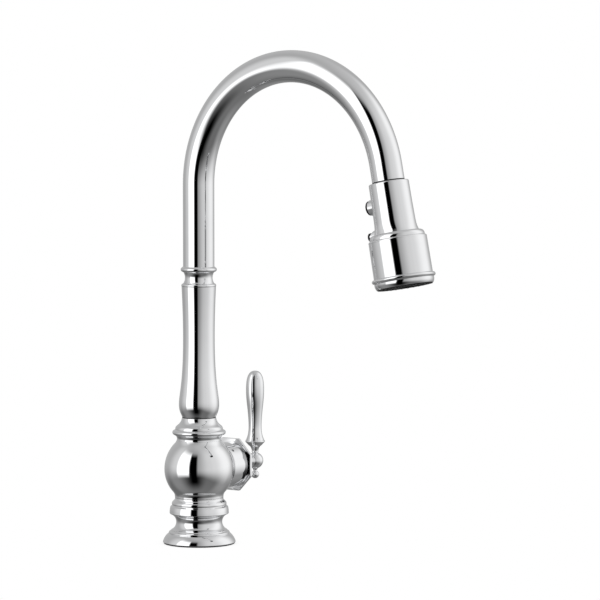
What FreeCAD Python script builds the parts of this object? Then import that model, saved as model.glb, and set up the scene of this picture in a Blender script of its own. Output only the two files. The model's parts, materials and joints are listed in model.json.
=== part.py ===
"""Pull-down kitchen faucet, modelled as the separate pieces it is assembled from.

Millimetres.  Origin at the centre of the deck face, +Z up, the spout reaches
towards -Y and the lever handle stands out towards +X.
"""
import FreeCAD
import Part
import math
import os

X_AXIS = FreeCAD.Vector(1, 0, 0)
Y_AXIS = FreeCAD.Vector(0, 1, 0)
Z_AXIS = FreeCAD.Vector(0, 0, 1)
ORIGIN = FreeCAD.Vector(0, 0, 0)

# Spout: a tube bent to one arc, ending in a short straight run at the dock
TUBE_R = 14.25
TUBE_BORE_R = 13.05
ARCH_R = 106.5
ARCH_Z = 327.25
ARCH_SWEEP = 168.7
TIP_RUN = 15.0
HOSE_R = 4.9
HOSE_BORE_R = 3.2

# Heights of the joints in the turned column
GASKET_TOP_Z = 1.0
FLANGE_TOP_Z = 12.4
PEDESTAL_TOP_Z = 42.3
BODY_TOP_Z = 94.4
NECK_TOP_Z = 115.0
THRUST_WASHER_T = 0.6
COLUMN_BOTTOM_Z = 115.65
COLUMN_TOP_Z = 237.3
COLLAR_TOP_Z = 252.6

# Mounting shank and the hardware under the deck
SHANK_R = 16.5
SHANK_BORE_R = 14.6
SHANK_BOTTOM_Z = -60.0
SHANK_TOP_Z = 49.9
SHANK_SEAT_R = 16.2
SHANK_THREAD_R = 16.1
SHANK_PLAIN_END_Z = -29.8
SHANK_CLEARANCE_R = 17.0
DECK_T = 30.0
RUBBER_WASHER_T = 2.5
STEEL_WASHER_T = 1.6
NUT_T = 12.0
NUT_BORE_R = 16.8
NUT_CORNER_R = 27.5
NUT_CHAMFER = 3.0
WASHER_R = 29.0
JACK_SCREW_PCD_R = 20.4
JACK_SCREW_R = 1.9
JACK_SCREW_HEAD_R = 3.2
JACK_SCREW_SHANK = 17.0
JACK_SCREW_LENGTH = 20.0

# Swivel joint between neck and column
POST_R = 11.6
POST_BORE_R = 9.0
POST_BOTTOM_Z = 88.0
POST_TOP_Z = 154.0
SWIVEL_RING_H = 7.0
SWIVEL_RING_Z = (118.0, 140.0)
O_RING_H = 2.4
O_RING_Z = (127.5, 134.0)
COLUMN_BORE_R = 13.0
SWIVEL_RING_R = 12.93

# Valve and lever, all on one axis that runs along +X
VALVE_Z = 68.3
BULB_R = 31.6
BULB_Z = 67.8
BOSS_R = 20.6
BOSS_END_X = 25.0
DRUM_R = 21.0
DRUM_BORE_R = 18.7
DRUM_START_X = 26.6
DRUM_END_X = 44.0
PLATE_END_X = 47.2
PLATE_VERTEX_R = 26.0
PLATE_BACK_SLOPE = 8.0
POCKET_X = 7.6
CARTRIDGE_R = 17.4
CAVITY_R = 14.5
PIVOT_X = 43.0
DOME_R = 17.0
DOME_BORE_R = 14.7
DOME_GAP = 0.35
LEVER_TILT = 25.0
STEM_TIP_X = 29.0
STEM_TIP_R = 2.2
DISC_REST_DROP = 2.95
LEVER_X = 81.5
BALL_R = 7.6
PORT_R = 4.1
PORT_OFFSET = 10.4
PORT_DEPTH = 12.0
PASSAGE_R = 2.4
PASSAGE_Z = 59.0
OUTLET_R = 2.8
OUTLET_OFFSET = 8.0
DISC_START_X = 20.0
DISC_END_X = 23.5
HOUSING_END_X = 33.0
PIN_R = 1.5

# Wand, measured down its own axis from the dock joint
SHELL_BORE_R = 15.7
SHOULDER_W = 44.6
LOWER_SHELL_W = 49.4
RIM_W = 82.6
RIM_BORE_R = 23.6
RIM_END_W = 90.9
FACE_TOP_W = 87.5
FACE_END_W = 92.4
FACE_R = 24.5
WATERWAY_R = 13.0
COUPLING_R = 10.4
SOCKET_BORE_R = 10.9
SOCKET_TOP_W = -11.2
HOSE_END_W = -14.0
UPPER_BUTTON_W = 19.0
UPPER_BUTTON_R = 6.4
UPPER_BEZEL_R = 7.0
UPPER_BEZEL_END = 22.2
LOWER_BUTTON_W = 44.3
LOWER_BUTTON_R = 3.9
LOWER_BEZEL_W = 43.8
LOWER_BEZEL_R = 5.4
LOWER_BEZEL_END = 25.9
BUTTON_CLEARANCE = 0.08


def point(radius, height):
    """Point of a turned outline in the XZ half-plane."""
    return FreeCAD.Vector(radius, 0, height)


def outline(start, steps):
    """Closed face from a start point and steps.

    A step of two numbers is a straight line to (radius, height), a step of four is
    an arc through the first pair to the second, and a list is a smooth curve
    through its pairs.
    """
    here = point(*start)
    edges = []
    for step in steps:
        if isinstance(step, list):
            curve = Part.BSplineCurve()
            curve.interpolate([here] + [point(*pair) for pair in step])
            edges.append(curve.toShape())
            here = point(*step[-1])
        elif len(step) == 4:
            end = point(step[2], step[3])
            edges.append(Part.Arc(here, point(step[0], step[1]), end).toShape())
            here = end
        else:
            end = point(*step)
            edges.append(Part.makeLine(here, end))
            here = end
    first = point(*start)
    if here.distanceToPoint(first) > 1e-6:
        edges.append(Part.makeLine(here, first))
    return Part.Face(Part.Wire(edges))


def turned(start, *steps):
    """Solid of revolution about Z."""
    return outline(start, steps).revolve(ORIGIN, Z_AXIS, 360)


def ring(inner, outer, low, high):
    """Plain ring, or a disc when inner is 0."""
    body = Part.makeCylinder(outer, high - low, FreeCAD.Vector(0, 0, low), Z_AXIS)
    if inner > 0:
        body = body.cut(Part.makeCylinder(inner, high - low, FreeCAD.Vector(0, 0, low), Z_AXIS))
    return body


def rod(radius, start, end):
    """Cylinder between two points."""
    low = FreeCAD.Vector(*start)
    run = FreeCAD.Vector(*end) - low
    return Part.makeCylinder(radius, run.Length, low, run)


def block(low, high):
    """Box between two corners."""
    size = FreeCAD.Vector(*high) - FreeCAD.Vector(*low)
    return Part.makeBox(size.x, size.y, size.z, FreeCAD.Vector(*low))


def on_valve(shape):
    """Turn a shape made about Z so that it runs along the valve axis."""
    placed = shape.copy()
    placed.rotate(ORIGIN, Y_AXIS, 90)
    placed.translate(FreeCAD.Vector(0, 0, VALVE_Z))
    return placed


def dock_point():
    """Centre of the joint between spout and wand."""
    sweep = math.radians(ARCH_SWEEP)
    reach = ARCH_R * (1 - math.cos(sweep)) + TIP_RUN * math.sin(sweep)
    height = ARCH_Z + ARCH_R * math.sin(sweep) + TIP_RUN * math.cos(sweep)
    return FreeCAD.Vector(0, -reach, height)


def on_wand(shape):
    """Place a shape whose +Z runs down the wand; its -Y side then faces the column."""
    placed = shape.copy()
    placed.rotate(ORIGIN, X_AXIS, ARCH_SWEEP)
    placed.translate(dock_point())
    return placed


def bend(inner, outer):
    """The arched stretch of a tube."""
    centre = FreeCAD.Vector(0, 0, ARCH_Z)
    section = Part.Face(Part.Wire(Part.makeCircle(outer, centre, Z_AXIS)))
    section = section.cut(Part.Face(Part.Wire(Part.makeCircle(inner, centre, Z_AXIS))))
    return section.Faces[0].revolve(FreeCAD.Vector(0, -ARCH_R, ARCH_Z), X_AXIS, ARCH_SWEEP)


def spout_run(inner, outer, low, end_w):
    """Tube up the column axis, over the arch and down to end_w on the wand axis."""
    rise = ring(inner, outer, low, ARCH_Z)
    tip = on_wand(ring(inner, outer, -TIP_RUN, end_w))
    return rise.multiFuse([bend(inner, outer), tip]).removeSplitter()


# --- Deck mounting -----------------------------------------------------------

def deck_gasket():
    """Rubber seal under the base flange."""
    return ring(SHANK_CLEARANCE_R, 32.4, 0, GASKET_TOP_Z)


def base_flange():
    """Bell-shaped foot with one bead above it."""
    return turned(
        (SHANK_CLEARANCE_R, GASKET_TOP_Z),
        (32.9, GASKET_TOP_Z), (33.2, 1.6), (31.7, 5.2, 28.6, 8.9),
        (27.6, 9.2), (27.75, 10.3, 26.9, 11.2), (26.3, 11.5), (25.6, FLANGE_TOP_Z),
        (SHANK_CLEARANCE_R, FLANGE_TOP_Z))


def pedestal():
    """Coved foot with a wide band that carries the valve body."""
    return turned(
        (SHANK_CLEARANCE_R, FLANGE_TOP_Z),
        (25.6, FLANGE_TOP_Z), (21.0, 19.2, 24.6, 26.2), (26.1, 27.1),
        (26.75, 27.4, 26.95, 28.5), (26.79, 31.1, 26.3, 33.7), (24.9, 34.9), (24.75, 35.4),
        (24.9, 37.0, 24.1, 38.5), (22.9, 39.6), (22.25, 40.6, 22.15, PEDESTAL_TOP_Z),
        (SHANK_CLEARANCE_R, PEDESTAL_TOP_Z))


def mounting_shank():
    """Tube through the deck: a seat in the body, a plain run in the deck hole, then thread.

    The thread is drawn at its mean radius.
    """
    seat = ring(SHANK_BORE_R, SHANK_SEAT_R, 0, SHANK_TOP_Z)
    plain = ring(SHANK_BORE_R, SHANK_R, SHANK_PLAIN_END_Z, 0)
    thread = ring(SHANK_BORE_R, SHANK_THREAD_R, SHANK_BOTTOM_Z, SHANK_PLAIN_END_Z)
    return seat.multiFuse([plain, thread])


def rubber_washer():
    """Soft washer against the underside of the deck."""
    return ring(NUT_BORE_R, WASHER_R, -DECK_T - RUBBER_WASHER_T, -DECK_T)


def steel_washer():
    """Pressure washer that the jack screws bear on."""
    top = -DECK_T - RUBBER_WASHER_T
    return ring(NUT_BORE_R, WASHER_R, top - STEEL_WASHER_T, top)


def nut_top():
    """Height of the nut's upper face."""
    return -DECK_T - RUBBER_WASHER_T - STEEL_WASHER_T - 1.0


def jack_screw_spots():
    """Angles of the three jack screws."""
    return [math.radians(30 + 120 * index) for index in range(3)]


def mounting_nut():
    """Hexagonal nut with three tapped holes for the jack screws."""
    top = nut_top()
    corners = []
    for index in range(7):
        angle = math.radians(60 * index)
        x = NUT_CORNER_R * math.cos(angle)
        y = NUT_CORNER_R * math.sin(angle)
        corners.append(FreeCAD.Vector(x, y, top - NUT_T))
    body = Part.Face(Part.makePolygon(corners)).extrude(FreeCAD.Vector(0, 0, NUT_T))
    outer = NUT_CORNER_R + 0.1
    body = body.common(turned(
        (0, top - NUT_T), (outer - NUT_CHAMFER, top - NUT_T), (outer, top - NUT_T + NUT_CHAMFER), (outer, top), (0, top)))
    body = body.cut(ring(0, NUT_BORE_R, top - NUT_T, top))
    for angle in jack_screw_spots():
        x = JACK_SCREW_PCD_R * math.cos(angle)
        y = JACK_SCREW_PCD_R * math.sin(angle)
        body = body.cut(rod(JACK_SCREW_R, (x, y, top - NUT_T), (x, y, top)))
    return body


def jack_screws():
    """Three hex-socket screws through the nut onto the steel washer."""
    top = -DECK_T - RUBBER_WASHER_T - STEEL_WASHER_T
    screws = []
    for angle in jack_screw_spots():
        x = JACK_SCREW_PCD_R * math.cos(angle)
        y = JACK_SCREW_PCD_R * math.sin(angle)
        neck = top - JACK_SCREW_SHANK
        low = top - JACK_SCREW_LENGTH
        screw = rod(JACK_SCREW_R, (x, y, neck), (x, y, top))
        head = rod(JACK_SCREW_HEAD_R, (x, y, low), (x, y, neck))
        socket = rod(1.6, (x, y, low), (x, y, low + 1.8))
        screws.append(screw.fuse(head).cut(socket))
    return Part.makeCompound(screws)


# --- Valve body and swivel ---------------------------------------------------

def valve_body():
    """Round brass body with the side pocket for the cartridge."""
    body = turned(
        (0, PEDESTAL_TOP_Z),
        (22.15, PEDESTAL_TOP_Z), (22.2, 43.6), (22.5, 45.0, 23.9, 47.3),
        (29.6, 56.7, 31.65, BULB_Z), (29.15, 80.8, 21.6, 92.1), (20.35, BODY_TOP_Z),
        (0, BODY_TOP_Z))
    body = body.fuse(on_valve(ring(0, BOSS_R, 10, BOSS_END_X)))
    body = body.cut(ring(0, SHANK_SEAT_R, PEDESTAL_TOP_Z, SHANK_TOP_Z + 0.1))
    body = body.cut(ring(0, HOSE_R + 1.0, SHANK_TOP_Z, BODY_TOP_Z))
    body = body.cut(ring(0, POST_R, POST_BOTTOM_Z, BODY_TOP_Z))
    body = body.cut(on_valve(ring(0, DRUM_BORE_R, POCKET_X, BULB_R + 10)))
    body = body.cut(on_valve(ring(0, BOSS_R, BOSS_END_X, BULB_R + 10)))
    port_top = SHANK_TOP_Z + 0.1 + PORT_DEPTH
    for y in (-PORT_OFFSET, PORT_OFFSET):
        body = body.cut(rod(PORT_R, (0, y, SHANK_TOP_Z), (0, y, port_top)))
        body = body.cut(rod(PASSAGE_R, (0, y, PASSAGE_Z), (POCKET_X, y, PASSAGE_Z)))
    return body.cut(rod(PORT_R, (-PORT_OFFSET, 0, SHANK_TOP_Z), (-PORT_OFFSET, 0, port_top)))


def swivel_neck():
    """Moulded neck that the column turns on."""
    return turned(
        (POST_R, BODY_TOP_Z),
        (20.35, BODY_TOP_Z), (20.15, 96.1, 21.2, 98.3), (22.6, 99.4),
        (24.35, 101.6, 22.9, 103.6), (21.7, 104.2), (21.6, 105.7, 20.8, 107.2),
        (19.7, 108.1), (17.3, 110.5, 15.75, 114.0), (15.55, NECK_TOP_Z),
        (POST_R, NECK_TOP_Z))


def swivel_post():
    """Hollow post that stands up inside the column."""
    return ring(POST_BORE_R, POST_R, POST_BOTTOM_Z, POST_TOP_Z)


def swivel_bearings():
    """Two nylon rings that the column runs on."""
    return Part.makeCompound([ring(POST_R, SWIVEL_RING_R, low, low + SWIVEL_RING_H) for low in SWIVEL_RING_Z])


def swivel_o_rings():
    """Two seals between the nylon rings."""
    return Part.makeCompound([ring(POST_R, SWIVEL_RING_R, low, low + O_RING_H) for low in O_RING_Z])


def post_clip():
    """Split clip that keeps the upper nylon ring on the post."""
    return ring(POST_R, 12.6, 147.3, 148.5).cut(block((0, -1.5, 147), (14, 1.5, 149)))


def thrust_washer():
    """Thin black washer under the column, seen as a dark line."""
    return ring(POST_R, 15.3, NECK_TOP_Z, NECK_TOP_Z + THRUST_WASHER_T)


# --- Cartridge ---------------------------------------------------------------

def cartridge_base_seal():
    """Rubber seal between the pocket floor and the cartridge."""
    seal = ring(0, 16.6, POCKET_X, POCKET_X + 1.0)
    drop = VALVE_Z - PASSAGE_Z
    for y in (-PORT_OFFSET, PORT_OFFSET):
        seal = seal.cut(rod(PASSAGE_R + 0.2, (drop, y, 0), (drop, y, DISC_START_X)))
    return on_valve(seal)


def cartridge_housing():
    """Plastic cup that holds the discs and the rotor."""
    start = POCKET_X + 1.0
    drop = VALVE_Z - PASSAGE_Z
    cup = ring(0, CARTRIDGE_R, start, HOUSING_END_X).cut(ring(0, CAVITY_R, DISC_START_X, HOUSING_END_X))
    for y in (-PORT_OFFSET, PORT_OFFSET):
        cup = cup.cut(rod(PASSAGE_R, (drop, y, start), (drop, y, DISC_START_X)))
    return on_valve(cup.cut(rod(OUTLET_R, (-OUTLET_OFFSET, 0, start), (-OUTLET_OFFSET, 0, DISC_START_X))))


def fixed_disc():
    """Ceramic disc with the two inlet windows and the outlet."""
    disc = ring(0, CAVITY_R - 0.3, DISC_START_X, DISC_END_X)
    for y in (-8.5, 8.5):
        disc = disc.cut(rod(PASSAGE_R, (9.0, y, DISC_START_X), (9.0, y, DISC_END_X)))
    return on_valve(disc.cut(rod(OUTLET_R, (-OUTLET_OFFSET, 0, DISC_START_X), (-OUTLET_OFFSET, 0, DISC_END_X))))


def moving_disc():
    """Ceramic disc and carrier that the stem pushes across the fixed disc."""
    start = DISC_END_X + 0.05
    disc = ring(0, 9.5, start, 26.8)
    disc = disc.cut(Part.makeCylinder(4.2, 1.6, FreeCAD.Vector(0, 0, start)))
    disc.translate(FreeCAD.Vector(DISC_REST_DROP, 0, 0))
    body = disc.fuse(ring(0, 5.4, 26.8, 30.2))
    return on_valve(body.cut(ring(0, STEM_TIP_R + 0.4, 26.4, 30.2)))


def cartridge_rotor():
    """Turning part of the cartridge, slotted for the stem, with two pivot ears."""
    body = ring(0, CAVITY_R - 0.3, 30.5, 32.7).fuse(ring(0, 12.2, 32.7, 40.5))
    for side in (-1, 1):
        low = min(side * 4.2, side * 8.0)
        body = body.fuse(block((-4, low, 40.5), (4, low + 3.8, PIVOT_X + 3.5)))
    body = body.cut(block((-10.4, -4.2, 30.4), (4.6, 4.2, 40.6)))
    return on_valve(body.cut(rod(PIN_R, (0, -9, PIVOT_X), (0, 9, PIVOT_X))))


def stem_pin():
    """Steel pin that the stem tilts on."""
    return on_valve(rod(PIN_R, (0, -8, PIVOT_X), (0, 8, PIVOT_X)))


def cartridge_nut():
    """Brass ring nut that holds the cartridge down."""
    nut = ring(12.55, DRUM_BORE_R - 0.05, HOUSING_END_X, HOUSING_END_X + 5.0)
    for index in range(4):
        slot = block((14.4, -1.6, HOUSING_END_X + 3.0), (20.0, 1.6, HOUSING_END_X + 5.0))
        slot.rotate(ORIGIN, Z_AXIS, 90 * index)
        nut = nut.cut(slot)
    return on_valve(nut)


def seam_ring():
    """Thin rounded ring between the body's boss and the drum."""
    return on_valve(turned(
        (DRUM_BORE_R, BOSS_END_X),
        (20.7, BOSS_END_X), (21.6, 25.8, 20.7, DRUM_START_X),
        (DRUM_BORE_R, DRUM_START_X)))


def drum_hole():
    """Radial hole for the drum's locking screw, up and towards the spout side."""
    return rod(1.5, (-12.7, -12.7, 30.5), (-15.6, -15.6, 30.5))


def valve_drum():
    """Round sleeve over the cartridge."""
    return on_valve(ring(DRUM_BORE_R, DRUM_R, DRUM_START_X, DRUM_END_X).cut(drum_hole()))


def drum_screw():
    """Small locking screw sunk in the drum."""
    screw = rod(1.45, (-12.7, -12.7, 30.5), (-14.2, -14.2, 30.5))
    return on_valve(screw.cut(ring(0, DRUM_BORE_R + 0.05, 28, 33)))


def bonnet_plate():
    """Octagonal plate with bevelled edges and a round seat for the dome."""
    corners = []
    for index in range(9):
        angle = math.radians(22.5 + 45 * index)
        x = PLATE_VERTEX_R * math.cos(angle)
        y = PLATE_VERTEX_R * math.sin(angle)
        corners.append(FreeCAD.Vector(x, y, DRUM_END_X))
    plate = Part.Face(Part.makePolygon(corners)).extrude(FreeCAD.Vector(0, 0, PLATE_END_X - DRUM_END_X))
    bevel = 0.7
    slope = math.tan(math.radians(PLATE_BACK_SLOPE))
    plate = plate.common(turned(
        (0, DRUM_END_X), (DRUM_R, DRUM_END_X),
        (PLATE_VERTEX_R + bevel, DRUM_END_X + (PLATE_VERTEX_R + bevel - DRUM_R) * slope),
        (PLATE_VERTEX_R + bevel, PLATE_END_X - 2 * bevel), (PLATE_VERTEX_R - 2 * bevel, PLATE_END_X),
        (0, PLATE_END_X)))
    plate = plate.cut(Part.makeSphere(DOME_R + DOME_GAP, FreeCAD.Vector(0, 0, PIVOT_X)))
    return on_valve(plate)


# --- Lever -------------------------------------------------------------------

def stem():
    """Steel stem: round tip in the disc carrier, eye on the pin, square shank."""
    tip = Part.makeSphere(STEM_TIP_R, FreeCAD.Vector(0, 0, STEM_TIP_X))
    neck = rod(1.7, (0, 0, STEM_TIP_X), (0, 0, 33))
    shaft = rod(3.3, (0, 0, 33), (0, 0, PIVOT_X))
    eye = rod(3.8, (0, -3.9, PIVOT_X), (0, 3.9, PIVOT_X))
    shank = block((-3.5, -3.5, PIVOT_X), (3.5, 3.5, 58.0))
    body = tip.multiFuse([neck, shaft, eye, shank])
    return on_valve(body.cut(rod(PIN_R + 0.06, (0, -5, PIVOT_X), (0, 5, PIVOT_X))))


def set_screw_hole(radius, low, high):
    """Radial hole on the underside of the dome, over the stem's shank."""
    return rod(radius, (low, 0, 55.0), (high, 0, 55.0))


def hub_dome():
    """Domed hub that covers the pivot, its rim cut at half the lever's tilt."""
    centre = FreeCAD.Vector(0, 0, PIVOT_X)
    shell = Part.makeSphere(DOME_R, centre).cut(Part.makeSphere(DOME_BORE_R, centre))
    boss = ring(0, 6.2, 52.0, 58.6).common(Part.makeSphere(DOME_R, centre))
    shell = shell.fuse(boss)
    keep = block((-30, -30, PIVOT_X), (30, 30, PIVOT_X + 30))
    keep.rotate(centre, Y_AXIS, -LEVER_TILT / 2)
    shell = shell.common(keep)
    shell = shell.cut(block((-3.55, -3.55, 50), (3.55, 3.55, 58.0)))
    return on_valve(shell.cut(set_screw_hole(2.05, 3.5, 15)))


def handle_set_screw():
    """Socket set screw under the dome that grips the stem."""
    screw = set_screw_hole(2.0, 3.6, 11.0)
    return on_valve(screw.cut(set_screw_hole(1.1, 8.6, 11.0)))


def hub_neck():
    """Turned arm from the dome to the lever's ball."""
    tip = PIVOT_X + DOME_R
    arm = turned(
        (0, tip - 0.6),
        (6.0, tip - 0.6), (6.9, tip + 0.7, 6.0, tip + 2.0), (4.6, tip + 2.4),
        (3.5, 66.5, 5.2, LEVER_X - BALL_R + 1.6), (0, LEVER_X - BALL_R + 1.6))
    arm = arm.cut(Part.makeSphere(DOME_R, FreeCAD.Vector(0, 0, PIVOT_X)))
    return on_valve(arm.cut(Part.makeSphere(BALL_R, FreeCAD.Vector(0, 0, LEVER_X))))


def on_lever(shape):
    """Move a shape made about Z onto the lever's axis."""
    placed = shape.copy()
    placed.translate(FreeCAD.Vector(LEVER_X, 0, 0))
    return placed


def lever_ball():
    """Ball at the foot of the lever, flat where the grip and finial meet it."""
    ball = Part.makeSphere(BALL_R, FreeCAD.Vector(0, 0, VALVE_Z))
    return on_lever(ball.common(ring(0, BALL_R, VALVE_Z - 7.2, VALVE_Z + 7.2)))


def lever_finial():
    """Small bead on a thin neck under the ball."""
    return on_lever(turned(
        (0, 51.6),
        (3.7, 55.1, 2.1, 58.3), (1.9, 59.6, 2.7, VALVE_Z - 7.2), (0, VALVE_Z - 7.2)))


def lever_grip():
    """Turned grip with a coned neck, a bell foot and a slim waist."""
    foot = VALVE_Z + 7.2
    return on_lever(turned(
        (0, foot),
        (2.6, foot), (3.3, 76.6), (3.0, 77.4), (3.9, 80.2, 5.0, 81.8), (5.9, 82.4),
        (8.9, 85.6), (9.15, 86.5, 8.6, 87.3),
        [(7.0, 91.6), (6.1, 97.5), (6.1, 104.0), (7.1, 116.5), (8.2, 127.5), (8.4, 134.5),
         (7.9, 142.6), (6.4, 147.9), (3.2, 151.5), (0, 152.2)],
        (0, foot)))


# --- Spout -------------------------------------------------------------------

def column():
    """Hollow baluster that turns with the spout."""
    return turned(
        (COLUMN_BORE_R, COLUMN_BOTTOM_Z),
        (15.4, COLUMN_BOTTOM_Z), (15.6, 116.4),
        [(17.5, 120.9), (18.3, 126.5), (17.2, 138.5), (15.3, 157.0), (14.4, 185.0),
         (14.75, 212.0), (15.65, 234.6)],
        (15.5, 236.6, 14.4, COLUMN_TOP_Z),
        (COLUMN_BORE_R, COLUMN_TOP_Z))


def column_collar():
    """Fitting that joins the column to the tube, with a cove and a bead."""
    return turned(
        (10.2, 224.0),
        (12.95, 224.0), (12.95, COLUMN_TOP_Z), (14.2, COLUMN_TOP_Z),
        (12.55, 242.3, 13.9, 247.4), (15.7, 248.4), (16.45, 250.1, 15.3, 251.9),
        (14.5, COLLAR_TOP_Z), (13.0, COLLAR_TOP_Z), (13.0, 268.0), (10.2, 268.0))


def spout_tube():
    """Gooseneck tube from the collar to the dock."""
    return spout_run(TUBE_BORE_R, TUBE_R, COLLAR_TOP_Z, -1.0)


def dock_socket():
    """Black plastic guide in the tube's end that the wand nests in."""
    return on_wand(turned(
        (SOCKET_BORE_R, SOCKET_TOP_W), (TUBE_BORE_R, SOCKET_TOP_W), (TUBE_BORE_R, -1.0), (TUBE_R, -1.0),
        (TUBE_R - 0.1, -0.1), (SOCKET_BORE_R + 0.5, -0.1), (SOCKET_BORE_R, -1.0)))


def dock_magnet():
    """Ring magnet behind the guide."""
    return on_wand(ring(SOCKET_BORE_R, TUBE_BORE_R, -TIP_RUN, SOCKET_TOP_W))


def spray_hose():
    """Braided hose from the shank up through the spout to its ferrule."""
    return spout_run(HOSE_BORE_R, HOSE_R, SHANK_BOTTOM_Z + 2, HOSE_END_W)


# --- Hose end ----------------------------------------------------------------

def hose_ferrule():
    """Crimped steel sleeve at the end of the hose."""
    return on_wand(ring(HOSE_BORE_R, 6.2, HOSE_END_W, -1.0))


def swivel_tail():
    """Brass tail with the flange that the coupling nut turns on."""
    return on_wand(turned(
        (HOSE_BORE_R - 0.4, -1.0), (5.4, -1.0), (5.4, 1.6), (8.0, 1.6), (8.0, 3.6), (5.0, 3.6),
        (5.0, 5.5), (4.2, 5.5), (4.2, 7.5), (5.0, 7.5), (5.0, 9.0), (HOSE_BORE_R - 0.4, 9.0)))


def hose_o_ring():
    """Seal on the swivel tail."""
    return on_wand(ring(4.2, 5.06, 5.6, 7.4))


# --- Wand --------------------------------------------------------------------

def button_rod(radius, near, far, w):
    """Cylinder on a button's axis, between two distances from the wand axis."""
    return rod(radius, (0, -near, w), (0, -far, w))


def coupling_nut():
    """Nut that fastens the wand to the hose and lets it turn."""
    return on_wand(ring(6.3, COUPLING_R, -9.0, 1.5))


def wand_magnet_ring():
    """Steel ring that the dock's magnet holds."""
    return on_wand(ring(6.5, COUPLING_R, -13.5, -9.0))


def waterway():
    """Plastic core that carries the water from the hose to the spray face."""
    return on_wand(turned(
        (8.1, 1.5), (COUPLING_R, 1.5), (COUPLING_R, 2.0), (WATERWAY_R, 4.6), (WATERWAY_R, 54.0),
        (20.0, 60.0), (20.0, 84.0), (17.5, 84.0), (17.5, 62.0), (3.5, 55.0), (3.5, 26.0),
        (6.0, 26.0), (6.0, 14.0), (3.0, 14.0), (3.0, 9.2), (5.1, 9.2), (5.1, 3.7), (8.1, 3.7)))


def check_valve():
    """Cartridge check valve in the waterway."""
    return on_wand(turned(
        (2.4, 14.2), (5.9, 14.2), (5.9, 25.8), (4.4, 25.8), (2.4, 20.0)))


def lower_boss():
    """Fairing around the lower button, blended into the shoulder."""
    fairing = turned(
        (15.0, 37.4), (18.3, 37.4), (21.3, 38.9, LOWER_BEZEL_END, 43.6), (LOWER_BEZEL_END, 52.0), (15.0, 52.0))
    return fairing.common(button_rod(LOWER_BEZEL_R, 15.0, 30.0, LOWER_BEZEL_W))


def wand_upper_shell():
    """Slim upper part of the wand, flaring into the shoulder."""
    shell = turned(
        (COUPLING_R + 0.05, 0.2), (16.3, 0.2), (17.3, 0.6, 17.6, 1.6),
        [(17.75, 18.0), (18.05, 33.0), (18.75, 41.0), (19.8, SHOULDER_W)],
        (SHELL_BORE_R, SHOULDER_W), (SHELL_BORE_R, 2.0), (COUPLING_R + 0.05, 2.0))
    shell = shell.cut(button_rod(UPPER_BEZEL_R, 12.0, 30.0, UPPER_BUTTON_W))
    return on_wand(shell.cut(button_rod(LOWER_BEZEL_R, 12.0, 30.0, LOWER_BEZEL_W)))


def shoulder_ring():
    """Rounded ring between the two shells."""
    shoulder = turned(
        (SHELL_BORE_R, SHOULDER_W), (20.0, SHOULDER_W), (22.8, 45.7, 24.1, 48.4),
        (24.1, LOWER_SHELL_W), (SHELL_BORE_R, LOWER_SHELL_W))
    return on_wand(shoulder.cut(button_rod(LOWER_BEZEL_R, 12.0, 30.0, LOWER_BEZEL_W)))


def wand_lower_shell():
    """Wide lower part of the wand."""
    return on_wand(turned(
        (21.5, LOWER_SHELL_W), (24.4, LOWER_SHELL_W), (25.3, 49.9, 25.55, 51.2), (25.8, RIM_W),
        (RIM_BORE_R, RIM_W), (RIM_BORE_R, 51.4), (21.5, 51.4)))


def rim_ring():
    """Beaded ring around the spray face."""
    return on_wand(turned(
        (RIM_BORE_R, RIM_W), (26.1, RIM_W), (27.9, 84.4, 26.5, 86.2), (26.1, 86.7),
        (25.95, 89.0, 25.0, RIM_END_W), (RIM_BORE_R, RIM_END_W)))


def spray_face():
    """Black plate that closes the wand, open in the middle for the aerator."""
    return on_wand(turned(
        (7.2, FACE_TOP_W), (RIM_BORE_R - 0.05, FACE_TOP_W), (RIM_BORE_R - 0.05, RIM_END_W), (FACE_R, RIM_END_W),
        (FACE_R, FACE_END_W - 0.5), (FACE_R - 0.5, FACE_END_W), (7.2, FACE_END_W)))


def spray_nozzles():
    """Three rings of soft nozzles on the spray face."""
    nozzles = []
    for radius, count in ((11.0, 12), (15.5, 18), (20.0, 24)):
        for index in range(count):
            angle = 2 * math.pi * index / count
            x = radius * math.cos(angle)
            y = radius * math.sin(angle)
            nozzles.append(Part.makeCone(0.95, 0.6, 0.9, FreeCAD.Vector(x, y, FACE_END_W)))
    return on_wand(Part.makeCompound(nozzles))


def aerator():
    """Aerator housing with its screen."""
    housing = ring(5.8, 7.15, 84.0, 91.2)
    return on_wand(housing.fuse(ring(0, 5.8, 87.6, 89.4)))


def upper_bezel():
    """Metal ring that the upper button slides in."""
    bezel = button_rod(UPPER_BEZEL_R, 15.9, UPPER_BEZEL_END, UPPER_BUTTON_W)
    return on_wand(bezel.cut(button_rod(UPPER_BUTTON_R + BUTTON_CLEARANCE, 12, 30, UPPER_BUTTON_W)))


def lower_bezel():
    """Metal fairing that the lower button slides in."""
    bore = button_rod(LOWER_BUTTON_R + BUTTON_CLEARANCE, 12, 30, LOWER_BUTTON_W)
    return on_wand(lower_boss().cut(ring(0, SHELL_BORE_R, 35, 60)).cut(bore))


def button(radius, base, edge, rise, w):
    """Domed cap with a plunger that reaches in towards the waterway."""
    cap = button_rod(radius, base, edge, w)
    sphere_r = (radius * radius + rise * rise) / (2 * rise)
    centre = FreeCAD.Vector(0, -(edge + rise - sphere_r), w)
    dome = Part.makeSphere(sphere_r, centre).common(button_rod(radius, edge, edge + rise + 1, w))
    plunger = button_rod(1.6, 14.9, base, w)
    return on_wand(cap.multiFuse([dome, plunger]))


def upper_button():
    """Upper push button."""
    return button(UPPER_BUTTON_R, 17.2, 24.4, 0.7, UPPER_BUTTON_W)


def lower_button():
    """Lower push button."""
    return button(LOWER_BUTTON_R, 18.2, 28.7, 0.6, LOWER_BUTTON_W)


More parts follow.
